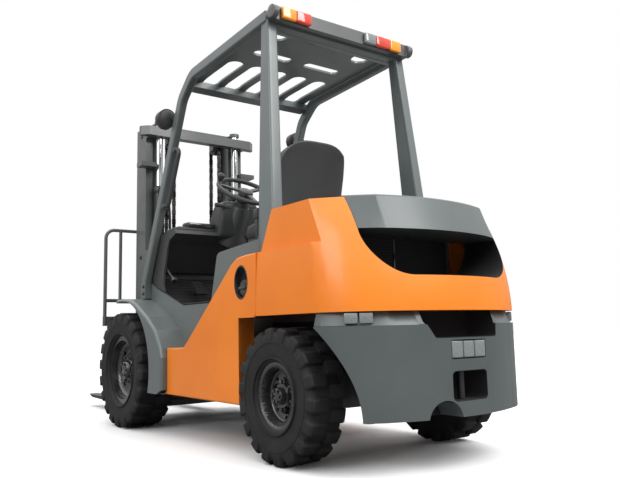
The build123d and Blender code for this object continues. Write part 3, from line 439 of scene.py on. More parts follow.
def smooth_copy(node, name, finish, angle):
    """A merged and smooth shaded copy of a CAD node, which then stands for it."""
    bm = merged(node)
    data = bpy.data.meshes.new(name)
    bm.to_mesh(data)
    bm.free()
    for face in data.polygons:
        face.use_smooth = True
    data.set_sharp_from_angle(angle=math.radians(angle))
    piece = bpy.data.objects.new(name, data)
    bpy.context.scene.collection.objects.link(piece)
    data.materials.append(finishes[finish])
    fair = piece.modifiers.new("fair_shading", "WEIGHTED_NORMAL")
    fair.keep_sharp = True
    fair.weight = 60
    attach(piece, body_of_node[node])
    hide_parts(node)
    return piece


class PaintSizes(bpy.types.PropertyGroup):
    """The colours of the truck."""

    orange: bpy.props.StringProperty(name="Body orange",
                                     description="Colour of the side panels and the band",
                                     default="#ee8210")
    grey: bpy.props.StringProperty(name="Body grey",
                                   description="Colour of the casting, guard and fenders",
                                   default="#5f6666")


class WheelSizes(bpy.types.PropertyGroup):
    """The sizes of the wheel fittings."""

    nut: bpy.props.FloatProperty(name="Wheel nut", description="Distance across a wheel nut",
                                 default=0.034,
                                 unit="LENGTH")
    front_circle: bpy.props.FloatProperty(name="Front bolt circle",
                                          description="Radius of the front nuts' circle",
                                          default=0.076, unit="LENGTH")
    rear_circle: bpy.props.FloatProperty(name="Rear bolt circle",
                                         description="Radius of the rear nuts' circle",
                                         default=0.062, unit="LENGTH")


class StageSizes(bpy.types.PropertyGroup):
    """The camera and the light."""

    lens: bpy.props.FloatProperty(name="Lens", description="Focal length on a 36 mm sensor",
                                  default=39.57)
    sun: bpy.props.FloatProperty(name="Main light",
                                 description="Power of the soft light behind the truck", default=330.0)
    fill: bpy.props.FloatProperty(name="Side light", description="Power of the soft light at the left",
                                  default=135.0)
    horizon: bpy.props.FloatProperty(name="Horizon", description="Strength of the sky at the horizon",
                                     default=0.22)
    zenith: bpy.props.FloatProperty(name="Zenith", description="Strength of the sky overhead",
                                    default=2.3)


class FORKLIFT_OT_paint(bpy.types.Operator):
    """Give every CAD node the finish of its slot"""

    bl_idname = "forklift.paint"
    bl_label = "Paint the frame"

    def execute(self, context):
        make_finishes(context.scene.forklift_paint)
        for name, piece in nodes.items():
            piece.data.materials.clear()
            piece.data.materials.append(finishes[slot_of_node[name]])
        for name in ("counterweight_base", "counterweight_cap"):
            nodes[name].data.materials.clear()
            nodes[name].data.materials.append(finishes["casting_grey"])
        return {"FINISHED"}


class FORKLIFT_OT_bodywork(bpy.types.Operator):
    """Smooth the sheet metal, the castings and the mouldings"""

    bl_idname = "forklift.bodywork"
    bl_label = "Bodywork"

    def execute(self, context):
        panels = {
            "counterweight_band": ("orange_band", "body_orange"),
            "side_tank_left": ("left_side_panel", "body_orange"),
            "side_tank_right": ("right_side_panel", "body_orange"),
            "counterweight_base": ("casting_base", "casting_grey"),
            "counterweight_cap": ("casting_cap", "casting_grey"),
            "guard_frame": ("guard_tubes", "body_grey"),
            "guard_roof": ("roof_pressing", "body_grey"), "hood": ("hood_pressing", "body_grey"),
            "front_fender_left": ("left_fender", "body_grey"),
            "front_fender_right": ("right_fender", "body_grey"),
            "radiator_cover": ("rear_cover", "body_grey"), "cowl": ("dash_moulding", "cab_plastic"),
            "steering_wheel": ("steering_rim", "cab_plastic"),
            "grab_handle": ("handle_bar", "cab_plastic"),
            "fork_left": ("left_fork", "fork_black"), "fork_right": ("right_fork", "fork_black"),
            "front_rim_left": ("left_front_wheel", "rim_black"),
            "front_rim_right": ("right_front_wheel", "rim_black"),
            "rear_rim_left": ("left_rear_wheel", "rim_black"),
            "rear_rim_right": ("right_rear_wheel", "rim_black"),
            "front_tyre_left": ("left_front_tyre", "tyre_rubber"),
            "front_tyre_right": ("right_front_tyre", "tyre_rubber"),
            "rear_tyre_left": ("left_rear_tyre", "tyre_rubber"),
            "rear_tyre_right": ("right_rear_tyre", "tyre_rubber"),
            "rear_lamp_bar": ("lamp_rail", "mast_grey"), "backrest": ("backrest_frame", "mast_grey"),
        }
        for node, (name, finish) in panels.items():
            pressed = finish in ("body_orange", "casting_grey", "body_grey") and node != "guard_frame"
            smooth_copy(node, name, finish, PRESSED_EDGE if pressed else ROUND_EDGE)
        return {"FINISHED"}


class FORKLIFT_OT_wheels(bpy.types.Operator):
    """Fit the nuts, the hub caps and the sidewall rings"""

    bl_idname = "forklift.wheels"
    bl_label = "Wheel fittings"

    def execute(self, context):
        sizes = context.scene.forklift_wheels
        for side, name in ((1, "left"), (-1, "right")):
            out = Vector((0, side, 0))
            front_hub = Vector((FRONT_HUB[0], side * FRONT_HUB[1], FRONT_HUB[2]))
            rear_hub = Vector((REAR_HUB[0], side * REAR_HUB[1], REAR_HUB[2]))
            sets = (
                ("front", front_hub, sizes.front_circle, 8, 0.027, 0.052, 0.060, (0.2275, 0.2900),
                 0.1108),
                ("rear", rear_hub, sizes.rear_circle, 6, 0.012, 0.042, 0.040, (0.1640, 0.2330), 0.089),
            )
            for end, hub, circle, count, seat, hub_end, cap, rings, wall in sets:
                body = f"{end}_wheel_{name}"
                bm = bmesh.new()
                for nut in range(count):
                    turn = 2 * math.pi * (nut + 0.5) / count
                    spot = hub + circle * Vector((math.cos(turn), 0, math.sin(turn)))
                    bar(bm, spot + out * seat, spot + out * (seat + 0.005), sizes.nut * 0.62, segments=20)
                    bar(bm, spot + out * (seat + 0.005), spot + out * (seat + 0.024), sizes.nut / 2,
                        segments=6, edge=0.0015)
                    bar(bm, spot + out * (seat + 0.02), spot + out * (seat + 0.036), 0.009, segments=12)
                put(f"{end}_nuts_{name}", bm, body, "bolt_steel")
                bm = bmesh.new()
                turned(bm, [(hub_end - 0.012, 0.001), (hub_end - 0.012, cap),
                            (hub_end + 0.010, cap * 0.97),
                            (hub_end + 0.024, cap * 0.8), (hub_end + 0.030, cap * 0.45),
                            (hub_end + 0.031, 0.001)],
                       hub, (0, side, 0))
                for bolt in range(6):
                    turn = 2 * math.pi * bolt / 6
                    spot = hub + cap * 0.62 * Vector((math.cos(turn), 0, math.sin(turn)))
                    bar(bm, spot + out * (hub_end + 0.02), spot + out * (hub_end + 0.036), 0.007,
                        segments=6)
                put(f"{end}_hub_cap_{name}", bm, body, "rim_black")
                bm = bmesh.new()
                for ring in rings:
                    turned(bm, [(wall - 0.009, ring - 0.006), (wall + 0.0015, ring - 0.003),
                                (wall + 0.0015, ring + 0.003),
                                (wall - 0.009, ring + 0.006)], hub, (0, side, 0), steps=72)
                put(f"{end}_sidewall_{name}", bm, body, "tyre_rubber")
        return {"FINISHED"}


class FORKLIFT_OT_lamps(bpy.types.Operator):
    """Make the lamp clusters on the roof, the head lamps and the clear blocks of the counterweight"""

    bl_idname = "forklift.lamps"
    bl_label = "Lamps"

    def execute(self, context):
        clusters = (
            ("left", (("amber", 0.330, 0.414), ("red", 0.237, 0.329))),
            ("right", (("amber", -0.384, -0.306), ("red", -0.305, -0.201), ("clear", -0.200, -0.125))),
        )
        for name, parts in clusters:
            low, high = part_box(f"rear_lamp_{name}")
            for colour, near, far in parts:
                bm = bmesh.new()
                box(bm, (low.x, near, low.z), (high.x, far, high.z), edge=0.006, segments=3)
                piece = put(f"{colour}_lens_{name}", bm, "chassis", f"lamp_{colour}")
                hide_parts(f"rear_lamp_{name}")
        for side, name in ((1, "left"), (-1, "right")):
            bm = bmesh.new()
            centre = (FRONT - 0.411, side * 0.490, 1.893)
            turned(bm, [(-0.039, 0.001), (-0.039, 0.036), (-0.030, 0.050), (-0.005, 0.059),
                        (0.030, 0.060),
                        (0.030, 0.052), (0.022, 0.050), (0.022, 0.001)], centre, (1, 0, 0))
            for fin in range(4):
                turned(bm, [(-0.026 + fin * 0.011, 0.04), (-0.026 + fin * 0.011, 0.0595),
                            (-0.022 + fin * 0.011, 0.0595),
                            (-0.022 + fin * 0.011, 0.04)], centre, (1, 0, 0))
            bar(bm, (FRONT - 0.47, side * 0.462, 1.893), (FRONT - 0.415, side * 0.470, 1.893), 0.012)
            box(bm, (FRONT - 0.49, *sorted((side * 0.452, side * 0.472))[:1], 1.873),
                (FRONT - 0.455, *sorted((side * 0.452, side * 0.472))[1:], 1.913), edge=0.003)
            piece = put(f"head_lamp_housing_{name}", bm, "chassis", "cab_plastic")
            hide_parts("headlamps")
            bm = bmesh.new()
            turned(bm, [(0.022, 0.001), (0.022, 0.052), (0.029, 0.050), (0.036, 0.03), (0.037, 0.001)],
                   centre, (1, 0, 0))
            put(f"head_lamp_glass_{name}", bm, "chassis", "lamp_clear")
        bm = bmesh.new()
        box(bm, (TAIL + 0.010, -0.1035, 0.4475), (TAIL + 0.038, 0.1035, 0.5225), edge=0.004)
        put("clear_block_back", bm, "chassis", "rim_black")
        bm = bmesh.new()
        for low, high in ((-0.101, -0.036), (-0.032, 0.032), (0.036, 0.101)):
            box(bm, (TAIL + 0.003, low, 0.4505), (TAIL + 0.016, high, 0.5195), edge=0.005, segments=3)
        put("clear_block_glass", bm, "chassis", "lamp_clear")
        for side, name in ((1, "left"), (-1, "right")):
            bm = bmesh.new()
            for part in (-0.030, 0.030):
                box(bm, (-0.012, part - 0.027, -0.021), (0.012, part + 0.027, 0.021), edge=0.004)
            turn = Matrix.Rotation(math.radians(-side * 39), 4, "Z")
            bmesh.ops.transform(bm,
                                matrix=Matrix.Translation((FRONT - 2.1645, side * 0.4645, 0.618)) @ turn,
                                verts=bm.verts)
            put(f"corner_lens_{name}", bm, "chassis", "lamp_clear")
        return {"FINISHED"}


class FORKLIFT_OT_seat(bpy.types.Operator):
    """Make the suspension seat: a crowned cushion, a back with side rolls and its shell"""

    bl_idname = "forklift.seat"
    bl_label = "Seat"

    def execute(self, context):
        low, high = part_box("seat_cushion")
        bm = bmesh.new()
        box(bm, low + Vector((0.004, 0.004, 0.0)), high - Vector((0.004, 0.004, 0.012)), edge=0.030,
            segments=4)
        bmesh.ops.subdivide_edges(bm, edges=[e for e in bm.edges if e.calc_length() > 0.05], cuts=11,
                                  use_grid_fill=True)
        middle = (low + high) / 2
        half = (high - low) / 2
        for v in bm.verts:
            across = (v.co.y - middle.y) / half.y
            along = (v.co.x - middle.x) / half.x
            if v.co.z > middle.z:
                crown = 0.014 * (1 - along ** 2) - 0.012 * math.exp(-((abs(across) - 0.62) / 0.05) ** 2)
                crown += 0.010 * max(0.0, abs(across) - 0.6) / 0.4
                crown -= 0.006 * math.exp(-((along - 0.1) / 0.04) ** 2) * (abs(across) < 0.6)
                v.co.z += crown
            v.co.y += 0.006 * math.copysign(1 - along ** 2, across) * abs(across)
        cushion = put("seat_cushion_pad", bm, "hood", "seat_vinyl", angle=60)
        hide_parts("seat_cushion")
        seat_x = low.x + 0.150
        low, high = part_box("seat_back")
        height = high.z - low.z
        centre_z = (low.z + high.z) / 2
        for name, depth, width, back, finish in (("seat_back_pad", 0.075, 0.215, 0.0, "seat_vinyl"),
                                                 ("seat_back_shell", 0.030, 0.225, -0.048,
                                                  "cab_plastic")):
            bm = bmesh.new()
            box(bm, (-depth / 2, -width, -height / 2), (depth / 2, width, height / 2),
                edge=min(0.028, depth * 0.42), segments=4)
            bmesh.ops.subdivide_edges(bm, edges=[e for e in bm.edges if e.calc_length() > 0.05], cuts=11,
                                      use_grid_fill=True)
            for v in bm.verts:
                across = v.co.y / width
                up = v.co.z / (height / 2)
                v.co.y *= 1 - 0.16 * max(0.0, up) ** 2.2
                if up > 0.5:
                    v.co.z -= 0.055 * abs(across) ** 4 * (up - 0.5) / 0.5
                v.co.x -= 0.050 * up + 0.012 * up ** 2
                v.co.x += 0.022 * abs(across) ** 3
                if finish == "seat_vinyl" and v.co.x > 0:
                    v.co.x -= 0.010 * math.exp(-((abs(across) - 0.62) / 0.05) ** 2)
                    v.co.x -= 0.006 * math.exp(-((up + 0.1) / 0.035) ** 2) * (abs(across) < 0.6)
            bmesh.ops.translate(bm, vec=(seat_x - 0.128 + back, 0, centre_z), verts=bm.verts)
            piece = put(name, bm, "hood", finish, angle=60)
            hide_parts("seat_back")
        bm = bmesh.new()
        for side in (-1, 1):
            box(bm, (seat_x - 0.19, min(side * 0.205, side * 0.231), 1.11),
                (seat_x - 0.12, max(side * 0.205, side * 0.231), 1.20),
                edge=0.008)
            bar(bm, (seat_x - 0.16, side * 0.200, 1.14), (seat_x - 0.16, side * 0.240, 1.14), 0.022)
        put("belt_reels", bm, "hood", "cab_plastic")
        bm = bmesh.new()
        box(bm, (seat_x + 0.06, 0.201, 1.09), (seat_x + 0.09, 0.217, 1.22), edge=0.006)
        box(bm, (seat_x + 0.05, 0.199, 1.20), (seat_x + 0.10, 0.223, 1.26), edge=0.008)
        put("belt_buckle", bm, "hood", "cab_plastic")
        return {"FINISHED"}


class FORKLIFT_OT_cab(bpy.types.Operator):
    """Fit the dash top, the column shroud, the wheel's hub and knob, the mat and the pedal ribs"""

    bl_idname = "forklift.cab"
    bl_label = "Driver's place"

    def execute(self, context):
        foot = Vector((FRONT - 0.330, 0, 1.150))
        top = Vector((FRONT - 0.545, 0, 1.462))
        along = (top - foot).normalized()
        bm = bmesh.new()
        turned(bm, [(0.0, 0.112), (0.03, 0.108), (0.10, 0.072), (0.24, 0.060), (0.255, 0.050),
                    (0.26, 0.02), (0.0, 0.02)],
               foot + along * 0.02, tuple(along), steps=32)
        bar(bm, foot + along * 0.255, foot + along * 0.262, 0.052)
        put("column_shroud", bm, "chassis", "cab_plastic")
        bm = bmesh.new()
        box(bm, (FRONT - 0.445, -0.155, 1.165), (FRONT - 0.235, 0.150, 1.405), edge=0.035, segments=4)
        for v in bm.verts:
            rise = max(0.0, (v.co.z - 1.165) / 0.24)
            v.co.x -= 0.075 * rise
            v.co.x += (FRONT - 0.42 - v.co.x) * 0.35 * rise
            v.co.y *= 1 - 0.16 * rise
        put("instrument_binnacle", bm, "chassis", "cab_plastic")
        bm = bmesh.new()
        for side, reach in ((1, 0.16), (-1, 0.13)):
            root = foot + along * 0.24
            bar(bm, root, root + Vector((-0.02, side * reach, 0.02)), 0.006)
            bar(bm, root + Vector((-0.017, side * reach * 0.8, 0.017)),
                root + Vector((-0.022, side * (reach + 0.03), 0.022)),
                0.010, 0.014, edge=0.003)
        put("column_switches", bm, "chassis", "cab_plastic")
        bm = bmesh.new()
        turned(bm, [(-0.012, 0.001), (-0.012, 0.050), (0.006, 0.046), (0.012, 0.030), (0.013, 0.001)],
               top, tuple(along), steps=40)
        put("horn_button", bm, "steering_wheel", "cab_plastic")
        side_way = Vector((0, 1, 0))
        up_way = along.cross(side_way)
        spot = top + (side_way * 0.78 - up_way * 0.62).normalized() * 0.180
        bm = bmesh.new()
        bar(bm, spot, spot + along * 0.022, 0.012)
        turned(bm, [(0.020, 0.001), (0.022, 0.018), (0.034, 0.024), (0.050, 0.022), (0.060, 0.012),
                    (0.062, 0.001)],
               spot, tuple(along), steps=28)
        put("steering_knob", bm, "steering_wheel", "cab_plastic")
        bm = bmesh.new()
        box(bm, (FRONT - 0.40, 0.10, 1.198), (FRONT - 0.22, 0.40, 1.232), edge=0.012, segments=3)
        box(bm, (FRONT - 0.40, 0.14, 1.226), (FRONT - 0.32, 0.34, 1.262), edge=0.014, segments=3)
        box(bm, (FRONT - 0.20, -0.40, 1.190), (FRONT - 0.15, 0.40, 1.206), edge=0.006)
        for vent in range(4):
            box(bm, (FRONT - 0.215, 0.12 + vent * 0.07, 1.200),
                (FRONT - 0.175, 0.17 + vent * 0.07, 1.212), edge=0.003)
        put("dash_top", bm, "chassis", "cab_plastic")
        bm = bmesh.new()
        box(bm, (FRONT - 0.403, 0.155, 1.231), (FRONT - 0.398, 0.325, 1.257), edge=0.002)
        put("instrument_glass", bm, "chassis", "rim_black")
        bm = bmesh.new()
        for lever in range(3):
            y = -0.360 + 0.065 * lever
            turned(bm, [(-0.006, 0.001), (-0.006, 0.024), (0.004, 0.018), (0.016, 0.014), (0.028, 0.010),
                        (0.028, 0.001)],
                   (FRONT - 0.322, y, 1.246), (0, 0, 1), steps=24)
        put("lever_boots", bm, "chassis", "tyre_rubber")
        bm = bmesh.new()
        for y in (-0.424, 0.424):
            box(bm, (FRONT - 0.86, min(y, y * 0.985), 0.738), (FRONT - 0.40, max(y, y * 0.985), 0.748),
                edge=0.003)
        box(bm, (FRONT - 0.855, -0.41, 0.7355), (FRONT - 0.34, 0.41, 0.741), edge=0.002)
        put("floor_mat", bm, "chassis", "floor_rubber")
        bm = bmesh.new()
        for pedal_y, wide in ((0.210, 0.070), (-0.060, 0.090), (-0.230, 0.060)):
            for rib in range(5):
                reach = -0.042 + 0.021 * rib
                spot = Vector((FRONT - 0.300 - 0.0085 + reach * 0.707, pedal_y,
                               0.850 + 0.0085 + reach * 0.707))
                bar(bm, spot - Vector((0, wide / 2 - 0.006, 0)), spot + Vector((0, wide / 2 - 0.006, 0)),
                    0.0035, segments=10)
        put("pedal_ribs", bm, "chassis", "tyre_rubber")
        bm = bmesh.new()
        bar(bm, (FRONT - 0.20, 0.415, 1.02), (FRONT - 0.345, 0.402, 0.905), 0.008)
        bar(bm, (FRONT - 0.345, 0.402, 0.905), (FRONT - 0.365, 0.404, 0.888), 0.021, edge=0.006)
        put("brake_knob", bm, "chassis", "bolt_steel")
        bm = bmesh.new()
        for side in (-1, 1):
            plate(bm, [(FRONT - 0.085, side * 0.4355, 0.918), (FRONT - 0.175, side * 0.4355, 1.188),
                       (FRONT - 0.400, side * 0.4355, 1.188), (FRONT - 0.350, side * 0.4355, 1.150),
                       (FRONT - 0.318, side * 0.4355, 1.100), (FRONT - 0.270, side * 0.4355, 0.95),
                       (FRONT - 0.258, side * 0.4355, 0.88), (FRONT - 0.275, side * 0.4355, 0.832),
                       (FRONT - 0.18, side * 0.4355, 0.862)], (0, -side * 0.012, 0))
        box(bm, (FRONT - 0.112, -0.424, 0.922), (FRONT - 0.082, 0.424, 0.968), edge=0.003)
        put("foot_well_lining", bm, "chassis", "cab_plastic")
        return {"FINISHED"}


class FORKLIFT_OT_panel_fittings(bpy.types.Operator):
    """Fit the filler wells and caps, the step treads and the bolts of the guard"""

    bl_idname = "forklift.panel_fittings"
    bl_label = "Body fittings"

    def execute(self, context):
        for side, name in ((1, "left"), (-1, "right")):
            centre = Vector((FRONT - 1.430, side * 0.565, 0.808))
            bm = bmesh.new()
            turned(bm, [(0.0015, 0.0600), (0.0015, 0.0650), (-0.004, 0.0665), (-0.036, 0.0615),
                        (-0.036, 0.001),
                        (-0.039, 0.001), (-0.039, 0.0605), (-0.004, 0.0600)], centre, (0, side, 0),
                        steps=64)
            bmesh.ops.scale(bm, vec=(0.94, 1, 1.24), space=Matrix.Translation(-centre), verts=bm.verts)
            put(f"filler_well_{name}", bm, "chassis", "rim_black")
            bm = bmesh.new()
            cap = centre + Vector((0.004, -side * 0.034, -0.026))
            turned(bm, [(0.0, 0.001), (0.0, 0.040), (0.014, 0.040), (0.017, 0.036), (0.018, 0.001)], cap,
                   (0, side, 0), steps=40)
            box(bm, cap + Vector((-0.032, min(side * 0.014, side * 0.028), -0.006)),
                cap + Vector((0.032, max(side * 0.014, side * 0.028), 0.006)), edge=0.003)
            put(f"filler_cap_{name}", bm, "chassis", "bolt_steel")
            bm = bmesh.new()
            for rib in range(9):
                x = FRONT - 0.600 + rib * 0.022
                box(bm, (x, min(side * 0.47, side * 0.585), 0.2365),
                    (x + 0.010, max(side * 0.47, side * 0.585), 0.2415),
                    edge=0.0015)
            put(f"step_tread_{name}", bm, "chassis", "mast_grey")
        bm = bmesh.new()
        for side in (-1, 1):
            for x, z in ((FRONT - 0.070, 0.830), (FRONT - 0.070, 0.875)):
                bar(bm, (x, side * 0.484, z), (x, side * 0.493, z), 0.010, segments=6, edge=0.001)
        put("guard_bolts", bm, "chassis", "bolt_steel")
        return {"FINISHED"}


class FORKLIFT_OT_mast_fittings(bpy.types.Operator):
    """Fit the leaf chains, the hoses, the gland nuts and the channel bolts of the mast"""

    bl_idname = "forklift.mast_fittings"
    bl_label = "Mast fittings"

    def execute(self, context):
        wheel_x, wheel_z, offset, half = FRONT + 0.200, 1.945, 0.0615, 0.013
        for side, name in ((1, "left"), (-1, "right")):
            y = side * 0.180
            bm = bmesh.new()
            pitch = 0.032
            spots = []
            z = 1.128
            while z < wheel_z:
                spots.append((Vector((wheel_x - offset, y, z)), 0.0))
                z += pitch
            steps = int(math.pi * offset / pitch)
            for step in range(steps + 1):
                turn = math.pi * step / steps
                spots.append((Vector((wheel_x - offset * math.cos(turn), y,
                                      wheel_z + offset * math.sin(turn))), turn))
            z = wheel_z - pitch
            while z > 0.425:
                spots.append((Vector((wheel_x + offset, y, z)), math.pi))
                z -= pitch
            for index, (spot, turn) in enumerate(spots):
                wide = half if index % 2 else half - 0.003
                made = box(bm, (-0.0055, -wide, -0.019), (0.0055, wide, 0.019))
                bmesh.ops.transform(bm, matrix=Matrix.Translation(spot) @ Matrix.Rotation(turn, 4, "Y"),
                                    verts=made)
                bar(bm, spot - Vector((0, half + 0.001, 0)), spot + Vector((0, half + 0.001, 0)), 0.0045,
                    segments=8)
            piece = put(f"leaf_chain_{name}", bm, "mast_inner", "chain_steel")
            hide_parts("lift_chains")
        bm = bmesh.new()
        for side in (-1, 1):
            bar(bm, (FRONT + 0.118, side * 0.300, 1.535), (FRONT + 0.118, side * 0.300, 1.575), 0.041,
                edge=0.003)
            bar(bm, (FRONT + 0.118, side * 0.300, 1.560), (FRONT + 0.118, side * 0.300, 1.585), 0.033,
                segments=6, edge=0.002)
            bar(bm, (FRONT + 0.118, side * 0.300, 0.140), (FRONT + 0.118, side * 0.300, 0.165), 0.040,
                edge=0.003)
        put("cylinder_glands", bm, "mast_outer", "cylinder_black")
        for side, name in ((1, "left"), (-1, "right")):
            hose(f"lift_hose_{name}", [
                (FRONT + 0.100, side * 0.262, 0.200), (FRONT + 0.080, side * 0.245, 0.330),
                (FRONT + 0.072, side * 0.238, 0.700),
                (FRONT + 0.072, side * 0.238, 1.150), (FRONT + 0.078, side * 0.240, 1.500),
                (FRONT + 0.092, side * 0.262, 1.545),
            ], 0.009, "mast_outer")
        bm = bmesh.new()
        for side in (-1, 1):
            for z in (0.470, 0.640, 1.100, 1.960):
                bar(bm, (FRONT + 0.240, side * 0.380, z), (FRONT + 0.240, side * 0.386, z), 0.016,
                    segments=6, edge=0.001)
        put("channel_bolts", bm, "mast_outer", "bolt_steel")
        return {"FINISHED"}


class FORKLIFT_OT_carriage_fittings(bpy.types.Operator):
    """Fit the fork pins and the bolts of the carriage bars"""

    bl_idname = "forklift.carriage_fittings"
    bl_label = "Carriage fittings"

    def execute(self, context):
        bm = bmesh.new()
        face = FRONT + 0.490
        for side in (-1, 1):
            bar(bm, (face - 0.004, side * 0.245, 0.666), (face - 0.004, side * 0.245, 0.690), 0.012,
                edge=0.002)
            bar(bm, (face - 0.004, side * 0.225, 0.688), (face - 0.004, side * 0.265, 0.688), 0.007)
            bar(bm, (face - 0.031, side * 0.50, 0.645), (face - 0.055, side * 0.50, 0.645), 0.012,
                segments=6)
            bar(bm, (face - 0.031, side * 0.50, 0.680), (face - 0.055, side * 0.50, 0.680), 0.012,
                segments=6)
        put("fork_pins", bm, "carriage", "bolt_steel")
        return {"FINISHED"}


class FORKLIFT_OT_counterweight_fittings(bpy.types.Operator):
    """Fit the tow pin's head, the stay in the outlet, and dark skins of painted shade in the outlet, the
    scoop, the tow pocket and the wheel arches
    """

    bl_idname = "forklift.counterweight_fittings"
    bl_label = "Counterweight fittings"

    def execute(self, context):
        bm = bmesh.new()
        bar(bm, (TAIL + 0.060, 0, 0.440), (TAIL + 0.060, 0, 0.446), 0.026)
        put("tow_pin_head", bm, "chassis", "bolt_steel")
        bm = bmesh.new()
        box(bm, (-1.640, 0.118, 0.800), (-1.632, 0.124, 0.970), edge=0.001)
        put("outlet_stay", bm, "chassis", "bolt_steel")
        lean, outlet_half, pocket_half, scoop_back, pocket_back = 0.2, 0.431, 0.106, TAIL + 0.160, TAIL + 0.130
        # Skins of painted shade: the faces inside the outlet, the scoop, the tow pocket and the wheel arches
        # get a near-black coat
        tests = [
            ("counterweight_band", "outlet_lining", lambda c, n: abs(c.y) < outlet_half
             and 0.787 < c.z < 1.12 and c.x < REAR + 0.02 and (abs(n.x) < lean or c.x > TAIL + 0.19)),
            ("counterweight_base", "scoop_lining", lambda c, n: -0.207 < c.y < 0.238
             and 0.531 < c.z < 0.6445 and c.x < scoop_back + 0.001
             and (abs(n.x) < lean or abs(c.x - scoop_back) < 0.001)),
            ("counterweight_base", "pocket_lining", lambda c, n: abs(c.y) < pocket_half
             and 0.276 < c.z < 0.400 and c.x < pocket_back + 0.001
             and (abs(n.x) < lean or abs(c.x - pocket_back) < 0.001)),
            ("counterweight_base", "rear_arch_lining", lambda c, n: c.x > REAR - 0.50
             and c.z < 0.644 and abs(n.y) < 0.3),
        ]
        for name in ("left", "right"):
            tests.append((f"side_tank_{name}", f"arch_lining_{name}", lambda c, n: c.x < REAR + 0.294
                          and c.z < 0.6505 and abs(n.y) < 0.3 and n.x < 0.1))
        for node, name, wanted in tests:
            lining(node, name, "painted_shade_black", wanted)
        return {"FINISHED"}


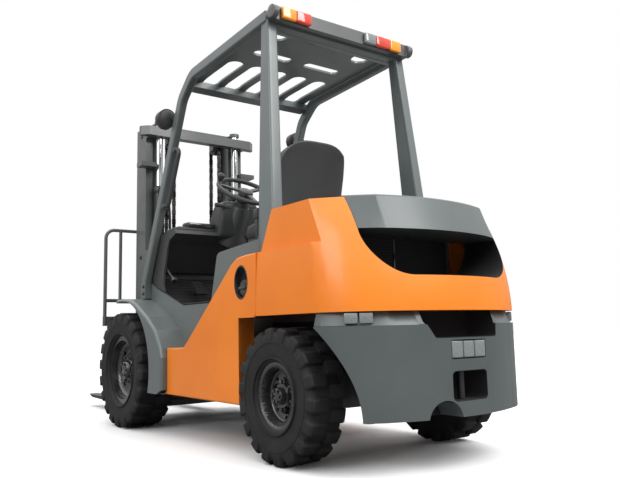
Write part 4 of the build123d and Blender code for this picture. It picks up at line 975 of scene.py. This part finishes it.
class FORKLIFT_OT_stage(bpy.types.Operator):
    """Build the floor, the lights and the camera at the photograph's view"""

    bl_idname = "forklift.stage"
    bl_label = "Stage"

    def execute(self, context):
        sizes = context.scene.forklift_stage
        scene = context.scene
        bm = bmesh.new()
        bmesh.ops.create_grid(bm, x_segments=1, y_segments=1, size=30.0)
        data = bpy.data.meshes.new("studio_floor")
        bm.to_mesh(data)
        bm.free()
        floor = bpy.data.objects.new("studio_floor", data)
        floor.location = (0, 0, -0.001)
        scene.collection.objects.link(floor)
        paper, tree, shader, place = new_material("Pale studio floor")
        grain = noise_of(tree, place, 400, 2.0)
        pale = mix_of(tree, grain, hex_of("#f1f1f1"), hex_of("#f4f4f4"))
        # To every ray but the camera's the floor is mid grey: painted shade that darkens the truck's
        # undersides and the shadow under it. The camera sees the floor pale.
        direct = add_node(tree, "LightPath").outputs["Is Camera Ray"]
        bounce = add_node(tree, "Mix", {"Factor": direct, "A": hex_of("#7c7c7c"), "B": pale},
                          data_type="RGBA")
        tree.links.new(bounce.outputs["Result"], shader.inputs["Base Color"])
        shader.inputs["Roughness"].default_value = 0.6
        shader.inputs["Specular IOR Level"].default_value = 0.2
        data.materials.append(paper)
        world = bpy.data.worlds.new("Studio")
        world.use_nodes = True
        sky = world.node_tree
        sky.nodes["Background"].inputs["Color"].default_value = (1, 1, 1, 1)
        aim = add_node(sky, "TexCoord").outputs["Generated"]
        height = add_node(sky, "SeparateXYZ", {"Vector": aim}).outputs["Z"]
        soft = range_of(sky, height, 0.0, 1.0, sizes.horizon, sizes.zenith)
        seen = add_node(sky, "LightPath").outputs["Is Camera Ray"]
        power = add_node(sky, "Mix", {"Factor": seen, "A": soft, "B": 1.0}, data_type="FLOAT")
        sky.links.new(power.outputs["Result"], sky.nodes["Background"].inputs["Strength"])
        scene.world = world
        lights = (
            ("main_light", sizes.sun, 3.5, (-6.4, -1.5, 5.4), (-0.8, 0, 1.4)),
            ("side_light", sizes.fill, 3.0, (-2.5, 6.5, 4.0), (-0.6, 0, 1.0)),
        )
        for name, power, size, place, aim in lights:
            light = bpy.data.lights.new(name, "AREA")
            light.energy = power
            light.size = size
            lamp = bpy.data.objects.new(name, light)
            lamp.location = place
            lamp.rotation_euler = (Vector(place) - Vector(aim)).to_track_quat("Z", "Y").to_euler()
            scene.collection.objects.link(lamp)
        yaw, pitch, roll = math.radians(-36.350), math.radians(7.554), math.radians(-1.331)
        ahead = Vector((math.cos(yaw) * math.cos(pitch), math.sin(yaw) * math.cos(pitch),
                        math.sin(pitch)))
        level = Vector((math.sin(yaw), -math.cos(yaw), 0))
        upright = level.cross(ahead)
        right = math.cos(roll) * level + math.sin(roll) * upright
        up = math.cos(roll) * upright - math.sin(roll) * level
        turn = Matrix((right, up, -ahead)).transposed().to_4x4()
        camera = bpy.data.cameras.new("photo_camera")
        camera.sensor_width = 36.0
        camera.lens = sizes.lens
        camera.clip_end = 200
        viewer = bpy.data.objects.new("photo_camera", camera)
        viewer.matrix_world = Matrix.Translation((-4.230 + FRONT, 2.212, 0.579)) @ turn
        scene.collection.objects.link(viewer)
        scene.camera = viewer
        scene.view_settings.view_transform = "Standard"
        return {"FINISHED"}


operators = [
    FORKLIFT_OT_paint, FORKLIFT_OT_bodywork, FORKLIFT_OT_wheels, FORKLIFT_OT_lamps, FORKLIFT_OT_seat,
    FORKLIFT_OT_cab,
    FORKLIFT_OT_panel_fittings, FORKLIFT_OT_mast_fittings, FORKLIFT_OT_carriage_fittings,
    FORKLIFT_OT_counterweight_fittings, FORKLIFT_OT_stage,
]


class FORKLIFT_PT_panel(bpy.types.Panel):
    """The pieces of the forklift, in the order in which they are made"""

    bl_idname = "FORKLIFT_PT_panel"
    bl_label = "Forklift"
    bl_space_type = "VIEW_3D"
    bl_region_type = "UI"
    bl_category = "Forklift"

    def draw(self, context):
        for made in operators:
            self.layout.operator(made.bl_idname)


groups = (("forklift_paint", PaintSizes), ("forklift_wheels", WheelSizes), ("forklift_stage", StageSizes))


def register():
    for name, group in groups:
        bpy.utils.register_class(group)
        setattr(bpy.types.Scene, name, bpy.props.PointerProperty(type=group))
    for made in operators + [FORKLIFT_PT_panel]:
        bpy.utils.register_class(made)


def unregister():
    for made in [FORKLIFT_PT_panel] + operators[::-1]:
        bpy.utils.unregister_class(made)
    for name, group in groups:
        delattr(bpy.types.Scene, name)
        bpy.utils.unregister_class(group)


def main():
    register()
    for made in operators:
        getattr(bpy.ops.forklift, made.bl_idname.split(".")[1])()


if __name__ == "__main__":
    main()
